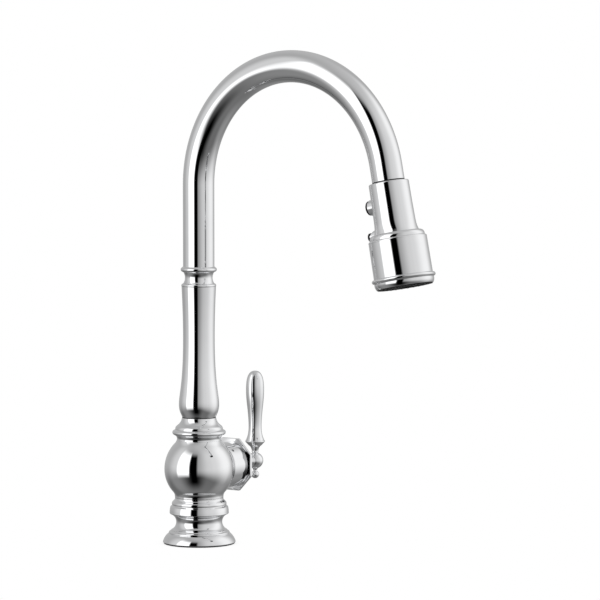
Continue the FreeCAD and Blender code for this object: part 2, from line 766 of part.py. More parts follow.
def button_spring(base, w):
    """Return spring around a plunger, drawn as its sleeve."""
    sleeve = button_rod(2.7, WATERWAY_R + 0.05, base, w)
    return on_wand(sleeve.cut(button_rod(1.95, WATERWAY_R, base, w)))


def upper_button_spring():
    """Return spring of the upper button."""
    return button_spring(17.2, UPPER_BUTTON_W)


def lower_button_spring():
    """Return spring of the lower button."""
    return button_spring(18.2, LOWER_BUTTON_W)


PARTS = (
    deck_gasket, base_flange, pedestal, mounting_shank,
    rubber_washer, steel_washer, mounting_nut, jack_screws,
    valve_body, swivel_neck, swivel_post, swivel_bearings, swivel_o_rings, post_clip, thrust_washer,
    cartridge_base_seal, cartridge_housing, fixed_disc, moving_disc, cartridge_rotor, stem_pin,
    cartridge_nut, seam_ring, valve_drum, drum_screw, bonnet_plate,
    stem, hub_dome, handle_set_screw, hub_neck, lever_ball, lever_finial, lever_grip,
    column, column_collar, spout_tube, dock_socket, dock_magnet, spray_hose,
    hose_ferrule, swivel_tail, hose_o_ring,
    coupling_nut, wand_magnet_ring, waterway, check_valve,
    wand_upper_shell, shoulder_ring, wand_lower_shell, rim_ring,
    spray_face, spray_nozzles, aerator,
    upper_bezel, upper_button, upper_button_spring, lower_bezel, lower_button, lower_button_spring,
)


def main():
    """Write one STEP file per piece."""
    os.makedirs("parts", exist_ok=True)
    for make in PARTS:
        shape = make()
        if not shape.isValid():
            raise ValueError(make.__name__ + " is not a valid shape")
        shape.exportStep("parts/" + make.__name__ + ".step")
        print(make.__name__, len(shape.Solids), round(shape.Volume, 1))


main()
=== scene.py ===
"""Looks of a pull-down kitchen faucet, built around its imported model.

Sizes are in millimetres until a piece is finished, then its mesh is put in metres.
The column stands on +Z, the spout reaches towards -Y and the lever stands out
towards +X.
"""
import json
import logging
import math
from dataclasses import dataclass, field
from enum import Enum
from typing import Callable, Iterable, Sequence

import bmesh
import bpy
import numpy as np
from mathutils import Matrix, Vector


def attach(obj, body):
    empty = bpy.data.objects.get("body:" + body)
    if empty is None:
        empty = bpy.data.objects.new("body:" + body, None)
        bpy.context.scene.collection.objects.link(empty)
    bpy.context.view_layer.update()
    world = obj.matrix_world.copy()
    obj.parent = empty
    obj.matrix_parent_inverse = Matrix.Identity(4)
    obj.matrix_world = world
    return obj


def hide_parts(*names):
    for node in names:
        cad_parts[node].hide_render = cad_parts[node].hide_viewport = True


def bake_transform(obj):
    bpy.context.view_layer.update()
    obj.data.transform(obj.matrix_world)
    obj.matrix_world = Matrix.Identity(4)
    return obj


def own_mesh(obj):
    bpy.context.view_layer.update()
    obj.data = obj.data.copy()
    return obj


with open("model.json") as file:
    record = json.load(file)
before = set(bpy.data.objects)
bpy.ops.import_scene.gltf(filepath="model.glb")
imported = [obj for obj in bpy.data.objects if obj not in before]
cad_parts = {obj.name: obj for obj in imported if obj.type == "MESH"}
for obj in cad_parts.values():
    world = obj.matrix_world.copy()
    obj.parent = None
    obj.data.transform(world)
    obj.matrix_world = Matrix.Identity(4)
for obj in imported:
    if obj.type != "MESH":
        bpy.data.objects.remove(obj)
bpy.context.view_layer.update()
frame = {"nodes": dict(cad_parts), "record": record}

logging.basicConfig(level=logging.INFO, format="%(message)s")
log = logging.getLogger("faucet")

MM = 0.001
IDENTITY = Matrix.Identity(4)
SMOOTH_ANGLE = math.radians(38)
FILLET = 0.25
FINE = 144
COARSE = 48

ARCH_R = 106.5
ARCH_Z = 327.25
ARCH_SWEEP = math.radians(168.7)
TIP_RUN = 15.0
VALVE_Z = 68.3
PIVOT_X = 43.0
LEVER_TILT = math.radians(25)

Pair = tuple[float, float]


class Slot(Enum):
    """Material slots of the record, one finish for each."""

    CHROME = "chrome"
    BRASS = "brass"
    STEEL = "steel"
    RUBBER = "black_rubber"
    BLACK_PLASTIC = "black_plastic"
    WHITE_PLASTIC = "white_plastic"
    CERAMIC = "ceramic"
    HOSE = "braided_hose"


# --- Placing -----------------------------------------------------------------

def on_valve() -> Matrix:
    """Place a form made about Z on the valve's axis, which runs along +X."""
    return Matrix.Translation((0, 0, VALVE_Z)) @ Matrix.Rotation(math.radians(90), 4, "Y")


def dock_point() -> Vector:
    """Centre of the joint between the spout and the wand."""
    reach = ARCH_R * (1 - math.cos(ARCH_SWEEP)) + TIP_RUN * math.sin(ARCH_SWEEP)
    height = ARCH_Z + ARCH_R * math.sin(ARCH_SWEEP) + TIP_RUN * math.cos(ARCH_SWEEP)
    return Vector((0, -reach, height))


def on_wand() -> Matrix:
    """Place a form whose +Z runs down the wand and whose -Y faces the column."""
    return Matrix.Translation(dock_point()) @ Matrix.Rotation(ARCH_SWEEP, 4, "X")


def on_button(height: float) -> Matrix:
    """Place a form made about Z on a button's axis.

    Args:
        height: Distance down the wand, in millimetres.

    Returns:
        The matrix that turns +Z outwards, towards the column.
    """
    outwards = Matrix.Rotation(math.radians(90), 4, "X")
    return on_wand() @ Matrix.Translation((0, 0, height)) @ outwards


# --- Outlines and forms ------------------------------------------------------

def arc_points(start: Vector, middle: Vector, end: Vector) -> list[Vector]:
    """Points of the arc from start to end through middle, without its start.

    Args:
        start: First point.
        middle: A point on the arc.
        end: Last point.

    Returns:
        Points at most four degrees apart.
    """
    a, b = middle - start, end - start
    double = 2 * (a.x * b.y - a.y * b.x)
    if abs(double) < 1e-9:
        return [end]
    centre = start + Vector((b.y * a.length_squared - a.y * b.length_squared,
                             a.x * b.length_squared - b.x * a.length_squared)) / double
    first = math.atan2(*(start - centre).yx)
    turn_mid = (math.atan2(*(middle - centre).yx) - first) % math.tau
    turn = (math.atan2(*(end - centre).yx) - first) % math.tau
    if turn_mid > turn:
        turn -= math.tau
    count = max(4, math.ceil(abs(turn) / math.radians(4)))
    radius = (start - centre).length
    angles = [first + turn * i / count for i in range(1, count + 1)]
    return [centre + Vector((math.cos(angle), math.sin(angle))) * radius for angle in angles]


def curve_points(knots: Sequence[Vector], per_span: int = 9) -> list[Vector]:
    """Points of the natural cubic spline through the knots, without the first.

    Args:
        knots: Points that the curve passes through.
        per_span: Points in each span.

    Returns:
        The points, in order.
    """
    at = np.array([[k.x, k.y] for k in knots])
    gaps = np.linalg.norm(np.diff(at, axis=0), axis=1)
    size = len(knots)
    system = np.eye(size)
    sides = np.zeros((size, 2))
    for i in range(1, size - 1):
        system[i, i - 1:i + 2] = gaps[i - 1], 2 * (gaps[i - 1] + gaps[i]), gaps[i]
        sides[i] = 6 * ((at[i + 1] - at[i]) / gaps[i] - (at[i] - at[i - 1]) / gaps[i - 1])
    bend = np.linalg.solve(system, sides)
    points = []
    for i in range(size - 1):
        for step in range(1, per_span + 1):
            t = step / per_span
            s = 1 - t
            spot = s * at[i] + t * at[i + 1]
            spot = spot + gaps[i] ** 2 / 6 * ((s ** 3 - s) * bend[i] + (t ** 3 - t) * bend[i + 1])
            points.append(Vector(spot))
    return points


def round_corners(points: list[Vector], radius: float, closed: bool) -> list[Vector]:
    """Round each corner of a line of points that turns by more than 20 degrees.

    Args:
        points: The line's points.
        radius: Fillet radius.
        closed: Whether the last point runs back to the first.

    Returns:
        The points with a short curve at each corner.
    """
    size = len(points)
    made = []
    for i, here in enumerate(points):
        if not closed and i in (0, size - 1):
            made.append(here)
            continue
        before = points[i - 1] - here
        after = points[(i + 1) % size] - here
        turn = math.pi - before.angle(after, math.pi)
        if turn < math.radians(20) or here.x < 1e-6:
            made.append(here)
            continue
        cut = min(radius * math.tan(turn / 2), 0.45 * before.length, 0.45 * after.length)
        a = here + before.normalized() * cut
        b = here + after.normalized() * cut
        made += [a * (1 - t) ** 2 + here * 2 * t * (1 - t) + b * t * t for t in (0, 0.25, 0.5, 0.75, 1)]
    return made


@dataclass(frozen=True)
class Outline:
    """Half outline of a turned form, as (radius, height) pairs in millimetres.

    A step of two numbers is a line, a step of four is an arc through the first
    pair to the second, and a list is a smooth curve through its pairs.
    """

    start: Pair
    steps: tuple
    fillet: float = FILLET

    def points(self) -> list[Vector]:
        """Points of the outline with its corners rounded."""
        line = [Vector(self.start)]
        for step in self.steps:
            if isinstance(step, list):
                line += curve_points([line[-1]] + [Vector(pair) for pair in step])
            elif len(step) == 4:
                line += arc_points(line[-1], Vector(step[:2]), Vector(step[2:]))
            else:
                line.append(Vector(step))
        if (line[-1] - line[0]).length < 1e-6:
            line.pop()
        return round_corners(line, self.fillet, closed=not self.solid)

    @property
    def solid(self) -> bool:
        """Whether the outline starts and ends on the axis."""
        last = self.steps[-1]
        end = last[-1][0] if isinstance(last, list) else last[-2]
        return self.start[0] < 1e-6 and end < 1e-6


def outline(start: Pair, *steps, fillet: float = FILLET) -> Outline:
    """Short way to write an outline.

    Args:
        start: First (radius, height) pair.
        *steps: Lines, arcs and curves.
        fillet: Radius of its corners.

    Returns:
        The outline.
    """
    return Outline(start, tuple(steps), fillet)


def tube_outline(inner: float, outer: float, low: float, high: float, fillet: float = FILLET) -> Outline:
    """Outline of a plain ring, or of a disc when inner is 0."""
    if inner <= 0:
        return outline((0, low), (outer, low), (outer, high), (0, high), fillet=fillet)
    return outline((inner, low), (outer, low), (outer, high), (inner, high), fillet=fillet)


def spin_form(bm: bmesh.types.BMesh, shape: Outline, place: Matrix = IDENTITY, steps: int = FINE) -> None:
    """Spin an outline about Z and add the form to a bmesh.

    Args:
        bm: The bmesh that takes the form.
        shape: The outline.
        place: Where the form goes, in millimetres.
        steps: Steps of the full turn.
    """
    form = bmesh.new()
    spots = [form.verts.new((p.x, 0, p.y)) for p in shape.points()]
    pairs = list(zip(spots, spots[1:]))
    if not shape.solid:
        pairs.append((spots[-1], spots[0]))
    edges = [form.edges.new(pair) for pair in pairs]
    bmesh.ops.spin(form, geom=spots + edges, cent=(0, 0, 0), axis=(0, 0, 1), dvec=(0, 0, 0),
                   angle=math.tau, steps=steps, use_merge=True, use_duplicate=False)
    bmesh.ops.remove_doubles(form, verts=form.verts, dist=1e-4)
    bmesh.ops.recalc_face_normals(form, faces=form.faces)
    bmesh.ops.transform(form, matrix=place, verts=form.verts)
    join_form(bm, form)


def join_form(bm: bmesh.types.BMesh, form: bmesh.types.BMesh) -> None:
    """Add a form to a bmesh and free it."""
    spare = bpy.data.meshes.new("spare")
    form.to_mesh(spare)
    form.free()
    bm.from_mesh(spare)
    bpy.data.meshes.remove(spare)


def shade(piece: bpy.types.Object, even: bool = True) -> None:
    """Smooth a piece but for its sharp edges, and let large faces lead the shading."""
    piece.data.shade_smooth()
    piece.data.set_sharp_from_angle(angle=SMOOTH_ANGLE)
    if even:
        piece.modifiers.new("even_normals", "WEIGHTED_NORMAL").keep_sharp = True


def push(bm: bmesh.types.BMesh, faces: list, by: Sequence[float]) -> list[bmesh.types.BMFace]:
    """Extrude faces by a vector and return the new faces."""
    made = bmesh.ops.extrude_face_region(bm, geom=faces)["geom"]
    bmesh.ops.translate(bm, vec=by, verts=[item for item in made if isinstance(item, bmesh.types.BMVert)])
    return [item for item in made if isinstance(item, bmesh.types.BMFace)]


def annulus(bm: bmesh.types.BMesh, outer: float, inner: float, height: float, segments: int) -> list:
    """Add a flat ring at a height and return its faces."""
    for radius in (outer, inner):
        bmesh.ops.create_circle(bm, cap_ends=False, radius=radius, segments=segments,
                                matrix=Matrix.Translation((0, 0, height)))
    return bmesh.ops.bridge_loops(bm, edges=bm.edges[:])["faces"]


def bevel_sharp(bm: bmesh.types.BMesh, degrees: float, offset: float, segments: int) -> None:
    """Bevel every edge that turns by more than an angle."""
    sharp = [edge for edge in bm.edges
             if len(edge.link_faces) == 2 and edge.calc_face_angle() > math.radians(degrees)]
    bmesh.ops.bevel(bm, geom=sharp, offset=offset, offset_type="OFFSET", segments=segments, profile=0.5,
                    affect="EDGES", material=-1, clamp_overlap=True)


def finish_piece(name: str, bm: bmesh.types.BMesh, even: bool = True) -> bpy.types.Object:
    """Turn a bmesh in millimetres into a smooth-shaded object in metres.

    Args:
        name: Name of the piece.
        bm: Its form, which is freed.
        even: Whether large faces lead the shading.

    Returns:
        The new object.
    """
    bmesh.ops.scale(bm, vec=(MM, MM, MM), verts=bm.verts)
    mesh = bpy.data.meshes.new(name)
    bm.to_mesh(mesh)
    bm.free()
    piece = bpy.data.objects.new(name, mesh)
    bpy.context.scene.collection.objects.link(piece)
    shade(piece, even)
    return piece


def turned(name: str, shape: Outline, place: Matrix = IDENTITY, steps: int = FINE) -> bpy.types.Object:
    """Make a piece from one outline.

    Args:
        name: Name of the piece.
        shape: Its outline.
        place: Where it goes, in millimetres.
        steps: Steps of the full turn.

    Returns:
        The new object.
    """
    bm = bmesh.new()
    spin_form(bm, shape, place, steps)
    return finish_piece(name, bm)


def carve(piece: bpy.types.Object, shape: Outline, place: Matrix, how: str = "DIFFERENCE",
          steps: int = 64) -> None:
    """Cut a turned form out of a piece, or keep only what is inside the form.

    Args:
        piece: The piece to change.
        shape: Outline of the cutting form.
        place: Where the cutting form goes.
        how: DIFFERENCE or INTERSECT.
        steps: Steps of the form's turn.
    """
    bm = bmesh.new()
    spin_form(bm, shape, place, steps)
    cutter = finish_piece("cutter", bm, even=False)
    piece.modifiers.clear()
    cut = piece.modifiers.new("cut", "BOOLEAN")
    cut.operation = how
    cut.solver = "EXACT"
    cut.object = cutter
    depsgraph = bpy.context.evaluated_depsgraph_get()
    mesh = bpy.data.meshes.new_from_object(piece.evaluated_get(depsgraph))
    piece.modifiers.clear()
    old = piece.data
    name = old.name
    piece.data = mesh
    bpy.data.meshes.remove(old)
    mesh.name = name
    spare = cutter.data
    bpy.data.objects.remove(cutter)
    bpy.data.meshes.remove(spare)
    shade(piece)


# --- Finishes ----------------------------------------------------------------

Socket = bpy.types.NodeSocket


@dataclass
class Wiring:
    """Small helper that adds nodes to a tree."""

    tree: bpy.types.NodeTree

    def add(self, kind: str, inputs: dict | None = None, **settings) -> bpy.types.Node:
        """Add a node.

        Args:
            kind: Node type without its ShaderNode prefix.
            inputs: Socket name or index to a value or to a socket to link.
            **settings: Properties of the node.

        Returns:
            The node.
        """
        node = self.tree.nodes.new("ShaderNode" + kind)
        for key, value in settings.items():
            setattr(node, key, value)
        for key, value in (inputs or {}).items():
            if isinstance(value, bpy.types.NodeSocket):
                self.tree.links.new(value, node.inputs[key])
            else:
                node.inputs[key].default_value = value
        return node

    def math(self, operation: str, first, second=0.0, third=0.0) -> Socket:
        """Add a Math node and return its output."""
        return self.add("Math", {0: first, 1: second, 2: third}, operation=operation).outputs[0]

    def ramp(self, value: Socket, stops: Iterable[tuple[float, float]]) -> Socket:
        """Add a grey Color Ramp.

        Args:
            value: Socket with the position.
            stops: Pairs of position and grey.

        Returns:
            The colour output.
        """
        node = self.add("ValToRGB", {0: value})
        node.color_ramp.interpolation = "EASE"
        elements = node.color_ramp.elements
        pairs = list(stops)
        while len(elements) < len(pairs):
            elements.new(0.5)
        for element, (spot, grey) in zip(elements, pairs):
            element.position = spot
            element.color = (grey, grey, grey, 1)
        return node.outputs[0]

    def span(self, value: Socket, low: float, high: float, start: float = 0.0, end: float = 1.0,
             smooth: bool = False) -> Socket:
        """Add a Map Range node from low..high to start..end."""
        node = self.add("MapRange", {0: value, 1: low, 2: high, 3: start, 4: end},
                        interpolation_type="SMOOTHSTEP" if smooth else "LINEAR")
        return node.outputs[0]


def fresh(owner: bpy.types.Material | bpy.types.World) -> Wiring:
    """Empty the node tree of a material or world."""
    owner.use_nodes = True
    owner.node_tree.nodes.clear()
    return Wiring(owner.node_tree)


def node_group(name: str, inputs: dict[str, tuple[str, object]], outputs: dict[str, str],
               build: Callable[[Wiring, dict[str, Socket]], dict[str, Socket]]) -> bpy.types.NodeTree:
    """Build a shader node group once.

    Args:
        name: Name of the group.
        inputs: Socket name to its kind and default value.
        outputs: Socket name to its kind.
        build: Makes the nodes and returns a socket for each output.

    Returns:
        The group's node tree.
    """
    if name in bpy.data.node_groups:
        return bpy.data.node_groups[name]
    tree = bpy.data.node_groups.new(name, "ShaderNodeTree")
    for socket, (kind, value) in inputs.items():
        made = tree.interface.new_socket(socket, in_out="INPUT", socket_type="NodeSocket" + kind)
        if value is not None:
            made.default_value = value
    for socket, kind in outputs.items():
        tree.interface.new_socket(socket, in_out="OUTPUT", socket_type="NodeSocket" + kind)
    wiring = Wiring(tree)
    entry = tree.nodes.new("NodeGroupInput")
    leave = tree.nodes.new("NodeGroupOutput")
    results = build(wiring, {socket: entry.outputs[socket] for socket in inputs})
    for socket, result in results.items():
        tree.links.new(result, leave.inputs[socket])
    return tree


def surface_group(name: str, scale: float, low: float, high: float,
                  build: Callable) -> bpy.types.NodeTree:
    """Group with the sockets that polish, lathe lines and grain share."""
    return node_group(name, {"Vector": ("Vector", None), "Scale": ("Float", scale),
                             "Low": ("Float", low), "High": ("Float", high)},
                      {"Roughness": "Float", "Tone": "Float", "Height": "Float"}, build)


def polish_haze() -> bpy.types.NodeTree:
    """Group for a polished surface: faint haze, tone and orange peel."""
    def build(w: Wiring, given: dict[str, Socket]) -> dict[str, Socket]:
        """Make the nodes."""
        broad = w.add("TexNoise", {"Vector": given["Vector"], "Scale": given["Scale"], "Detail": 3.0})
        fine = w.add("TexNoise", {"Vector": given["Vector"], "Scale": 2600.0, "Detail": 2.0})
        mixed = w.math("MULTIPLY_ADD", fine.outputs[0], 0.35, w.math("MULTIPLY", broad.outputs[0], 0.65))
        rough = w.add("MapRange", {0: mixed, 1: 0.35, 2: 0.68, 3: given["Low"], 4: given["High"]})
        return {"Roughness": rough.outputs[0], "Tone": mixed, "Height": broad.outputs[0]}
    return surface_group("polish_haze", 60.0, 0.02, 0.05, build)


def lathe_lines() -> bpy.types.NodeTree:
    """Group for machined metal: fine rings about Z and a little grain."""
    def build(w: Wiring, given: dict[str, Socket]) -> dict[str, Socket]:
        """Make the nodes."""
        split = w.add("SeparateXYZ", {0: given["Vector"]})
        x2 = w.math("MULTIPLY", split.outputs[0], split.outputs[0])
        radius = w.math("SQRT", w.math("MULTIPLY_ADD", split.outputs[1], split.outputs[1], x2))
        spot = w.add("CombineXYZ", {0: radius, 1: split.outputs[2]})
        lines = w.add("TexNoise", {"Vector": spot.outputs[0], "Scale": given["Scale"], "Detail": 4.0})
        grain = w.add("TexNoise", {"Vector": given["Vector"], "Scale": 900.0, "Detail": 2.0})
        mixed = w.math("MULTIPLY_ADD", grain.outputs[0], 0.3, w.math("MULTIPLY", lines.outputs[0], 0.7))
        rough = w.add("MapRange", {0: mixed, 1: 0.3, 2: 0.7, 3: given["Low"], 4: given["High"]})
        return {"Roughness": rough.outputs[0], "Tone": mixed, "Height": lines.outputs[0]}
    return surface_group("lathe_lines", 2400.0, 0.2, 0.4, build)


def moulded_grain() -> bpy.types.NodeTree:
    """Group for rubber, plastic and ceramic: pebbled grain and faint mottling."""
    def build(w: Wiring, given: dict[str, Socket]) -> dict[str, Socket]:
        """Make the nodes."""
        cells = w.add("TexVoronoi", {"Vector": given["Vector"], "Scale": given["Scale"]},
                      feature="SMOOTH_F1")
        broad = w.add("TexNoise", {"Vector": given["Vector"], "Scale": 140.0, "Detail": 4.0})
        rough = w.add("MapRange", {0: broad.outputs[0], 1: 0.3, 2: 0.7, 3: given["Low"],
                                   4: given["High"]})
        return {"Roughness": rough.outputs[0], "Tone": broad.outputs[0], "Height": cells.outputs[0]}
    return surface_group("moulded_grain", 2500.0, 0.4, 0.55, build)


def strand_weave() -> bpy.types.NodeTree:
    """Group for a braided sleeve, on a map of one turn to one unit. Its Tone is painted shade and highlight: the
    strand on top is light along its crest and dark at its edges.
    """
    def build(w: Wiring, given: dict[str, Socket]) -> dict[str, Socket]:
        """Make the nodes."""
        split = w.add("SeparateXYZ", {0: given["Vector"]})
        around = w.math("MULTIPLY", split.outputs[0], given["Strands"])
        along = w.math("MULTIPLY", split.outputs[1], given["Strands"])
        right = w.math("ADD", around, along)
        left = w.math("SUBTRACT", around, along)
        waves = []
        for path in (right, left):
            turn = w.math("MULTIPLY", path, math.tau)
            waves.append(w.math("MULTIPLY_ADD", w.math("COSINE", turn), 0.5, 0.5))
        cross = w.math("MULTIPLY", w.math("SINE", w.math("MULTIPLY", right, math.pi)),
                       w.math("SINE", w.math("MULTIPLY", left, math.pi)))
        over = w.span(cross, -0.25, 0.25, smooth=True)
        # Tone of the strand on top, light along its crest and dark at its edges: painted shade and highlight across
        # the strand.
        top = w.add("Mix", {0: over, 2: waves[0], 3: waves[1]})
        threads = w.math("MULTIPLY_ADD", w.math("SINE", w.math("MULTIPLY", around, 31.4)), 0.08,
                         top.outputs[0])
        return {"Height": threads, "Tone": top.outputs[0], "Over": over}
    return node_group("strand_weave", {"Vector": ("Vector", None), "Strands": ("Float", 16.0)},
                      {"Height": "Float", "Tone": "Float", "Over": "Float"}, build)


class Pattern(Enum):
    """Surface patterns that a finish may have."""

    POLISH = "polish_haze"
    LATHE = "lathe_lines"
    GRAIN = "moulded_grain"
    WEAVE = "strand_weave"


GROUPS: dict[Pattern, Callable[[], bpy.types.NodeTree]] = {
    Pattern.POLISH: polish_haze, Pattern.LATHE: lathe_lines,
    Pattern.GRAIN: moulded_grain, Pattern.WEAVE: strand_weave,
}


@dataclass(frozen=True)
class Finish:
    """One procedural finish."""

    slot: Slot
    pattern: Pattern
    dark: tuple[float, float, float]
    light: tuple[float, float, float]
    metallic: float
    low: float
    high: float
    scale: float
    bump: float
    coat: float = 0.0
    specular: float = 0.5

    def build(self) -> bpy.types.Material:
        """Make the material."""
        material = bpy.data.materials.new("finish_" + self.slot.value)
        w = fresh(material)
        coordinates = w.add("TexCoord")
        weave = self.pattern is Pattern.WEAVE
        group = w.add("Group")
        group.node_tree = GROUPS[self.pattern]()
        w.tree.links.new(coordinates.outputs["UV" if weave else "Object"], group.inputs["Vector"])
        tone = group.outputs["Tone"]
        if weave:
            group.inputs["Strands"].default_value = self.scale
            rough = w.span(tone, 0.0, 1.0, self.high, self.low)
        else:
            group.inputs["Scale"].default_value = self.scale
            group.inputs["Low"].default_value = self.low
            group.inputs["High"].default_value = self.high
            rough = group.outputs["Roughness"]
        # For the braided hose this tone paints shade and highlight across each strand; for the other finishes it is
        # their own random tone or lathe lines.
        tint = w.add("Mix", {0: w.span(tone, 0.3, 0.7), 6: (*self.dark, 1), 7: (*self.light, 1)},
                     data_type="RGBA")
        bump = w.add("Bump", {"Strength": self.bump, "Distance": 0.0001,
                              "Height": group.outputs["Height"]})
        shader = w.add("BsdfPrincipled", {"Base Color": tint.outputs[2], "Roughness": rough,
                                          "Metallic": self.metallic, "Coat Weight": self.coat,
                                          "Specular IOR Level": self.specular, "Normal": bump.outputs[0]})
        w.add("OutputMaterial", {"Surface": shader.outputs[0]})
        return material


FINISHES = (
    Finish(Slot.CHROME, Pattern.POLISH, (0.86, 0.865, 0.875), (0.9, 0.903, 0.91), 1.0, 0.012, 0.035,
           45.0, 0.012),
    Finish(Slot.BRASS, Pattern.LATHE, (0.56, 0.40, 0.17), (0.78, 0.60, 0.32), 1.0, 0.22, 0.42, 2200.0,
           0.25),
    Finish(Slot.STEEL, Pattern.LATHE, (0.45, 0.455, 0.46), (0.66, 0.665, 0.67), 1.0, 0.24, 0.42, 2600.0,
           0.2),
    Finish(Slot.RUBBER, Pattern.GRAIN, (0.012, 0.012, 0.013), (0.024, 0.024, 0.025), 0.0, 0.62, 0.8,
           1800.0, 0.3),
    Finish(Slot.BLACK_PLASTIC, Pattern.GRAIN, (0.006, 0.006, 0.0065), (0.012, 0.012, 0.013),
           0.0, 0.42, 0.55, 3000.0, 0.1, specular=0.12),
    Finish(Slot.WHITE_PLASTIC, Pattern.GRAIN, (0.74, 0.74, 0.71), (0.82, 0.82, 0.8), 0.0, 0.38, 0.5,
           2200.0, 0.1),
    Finish(Slot.CERAMIC, Pattern.GRAIN, (0.86, 0.85, 0.82), (0.9, 0.895, 0.87), 0.0, 0.12, 0.2, 3600.0,
           0.03, coat=0.4),
    # The hose's dark and light greys are painted shade and highlight across its strands.
    Finish(Slot.HOSE, Pattern.WEAVE, (0.045, 0.047, 0.05), (0.33, 0.34, 0.36), 0.15, 0.34, 0.62, 16.0,
           1.0),
)


@dataclass
class Wardrobe:
    """Every finish by its slot, and what puts pieces on their bodies."""

    materials: dict[Slot, bpy.types.Material] = field(default_factory=dict)

    def stock(self) -> None:
        """Make every finish."""
        for finish in FINISHES:
            self.materials[finish.slot] = finish.build()
            log.info("finish %s", finish.slot.value)

    def dress(self, piece: bpy.types.Object, slot: Slot) -> None:
        """Give a piece its finish and slot."""
        piece.data.materials.clear()
        piece.data.materials.append(self.materials[slot])

    def seat(self, piece: bpy.types.Object, body: str, slot: Slot, *nodes: str) -> None:
        """Dress a piece, put it on a body and hide the nodes that it replaces.

        Args:
            piece: The piece.
            body: Body that it moves with.
            slot: Its material slot.
            *nodes: Nodes that it replaces.
        """
        self.dress(piece, slot)
        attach(piece, body)
        if nodes:
            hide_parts(*nodes)
        log.info("%s on %s, %d faces", piece.name, body, len(piece.data.polygons))

    def dress_frame(self) -> None:
        """Give each node that stays its own finish."""
        slots = {row["node"]: Slot(row["material_slot"]) for row in frame["record"]["subparts"]}
        for name, node in frame["nodes"].items():
            if node.hide_render:
                continue
            material = self.materials[slots[name]]
            for index in range(len(node.material_slots)):
                node.material_slots[index].material = material


# --- Under the deck and the foot ---------------------------------------------

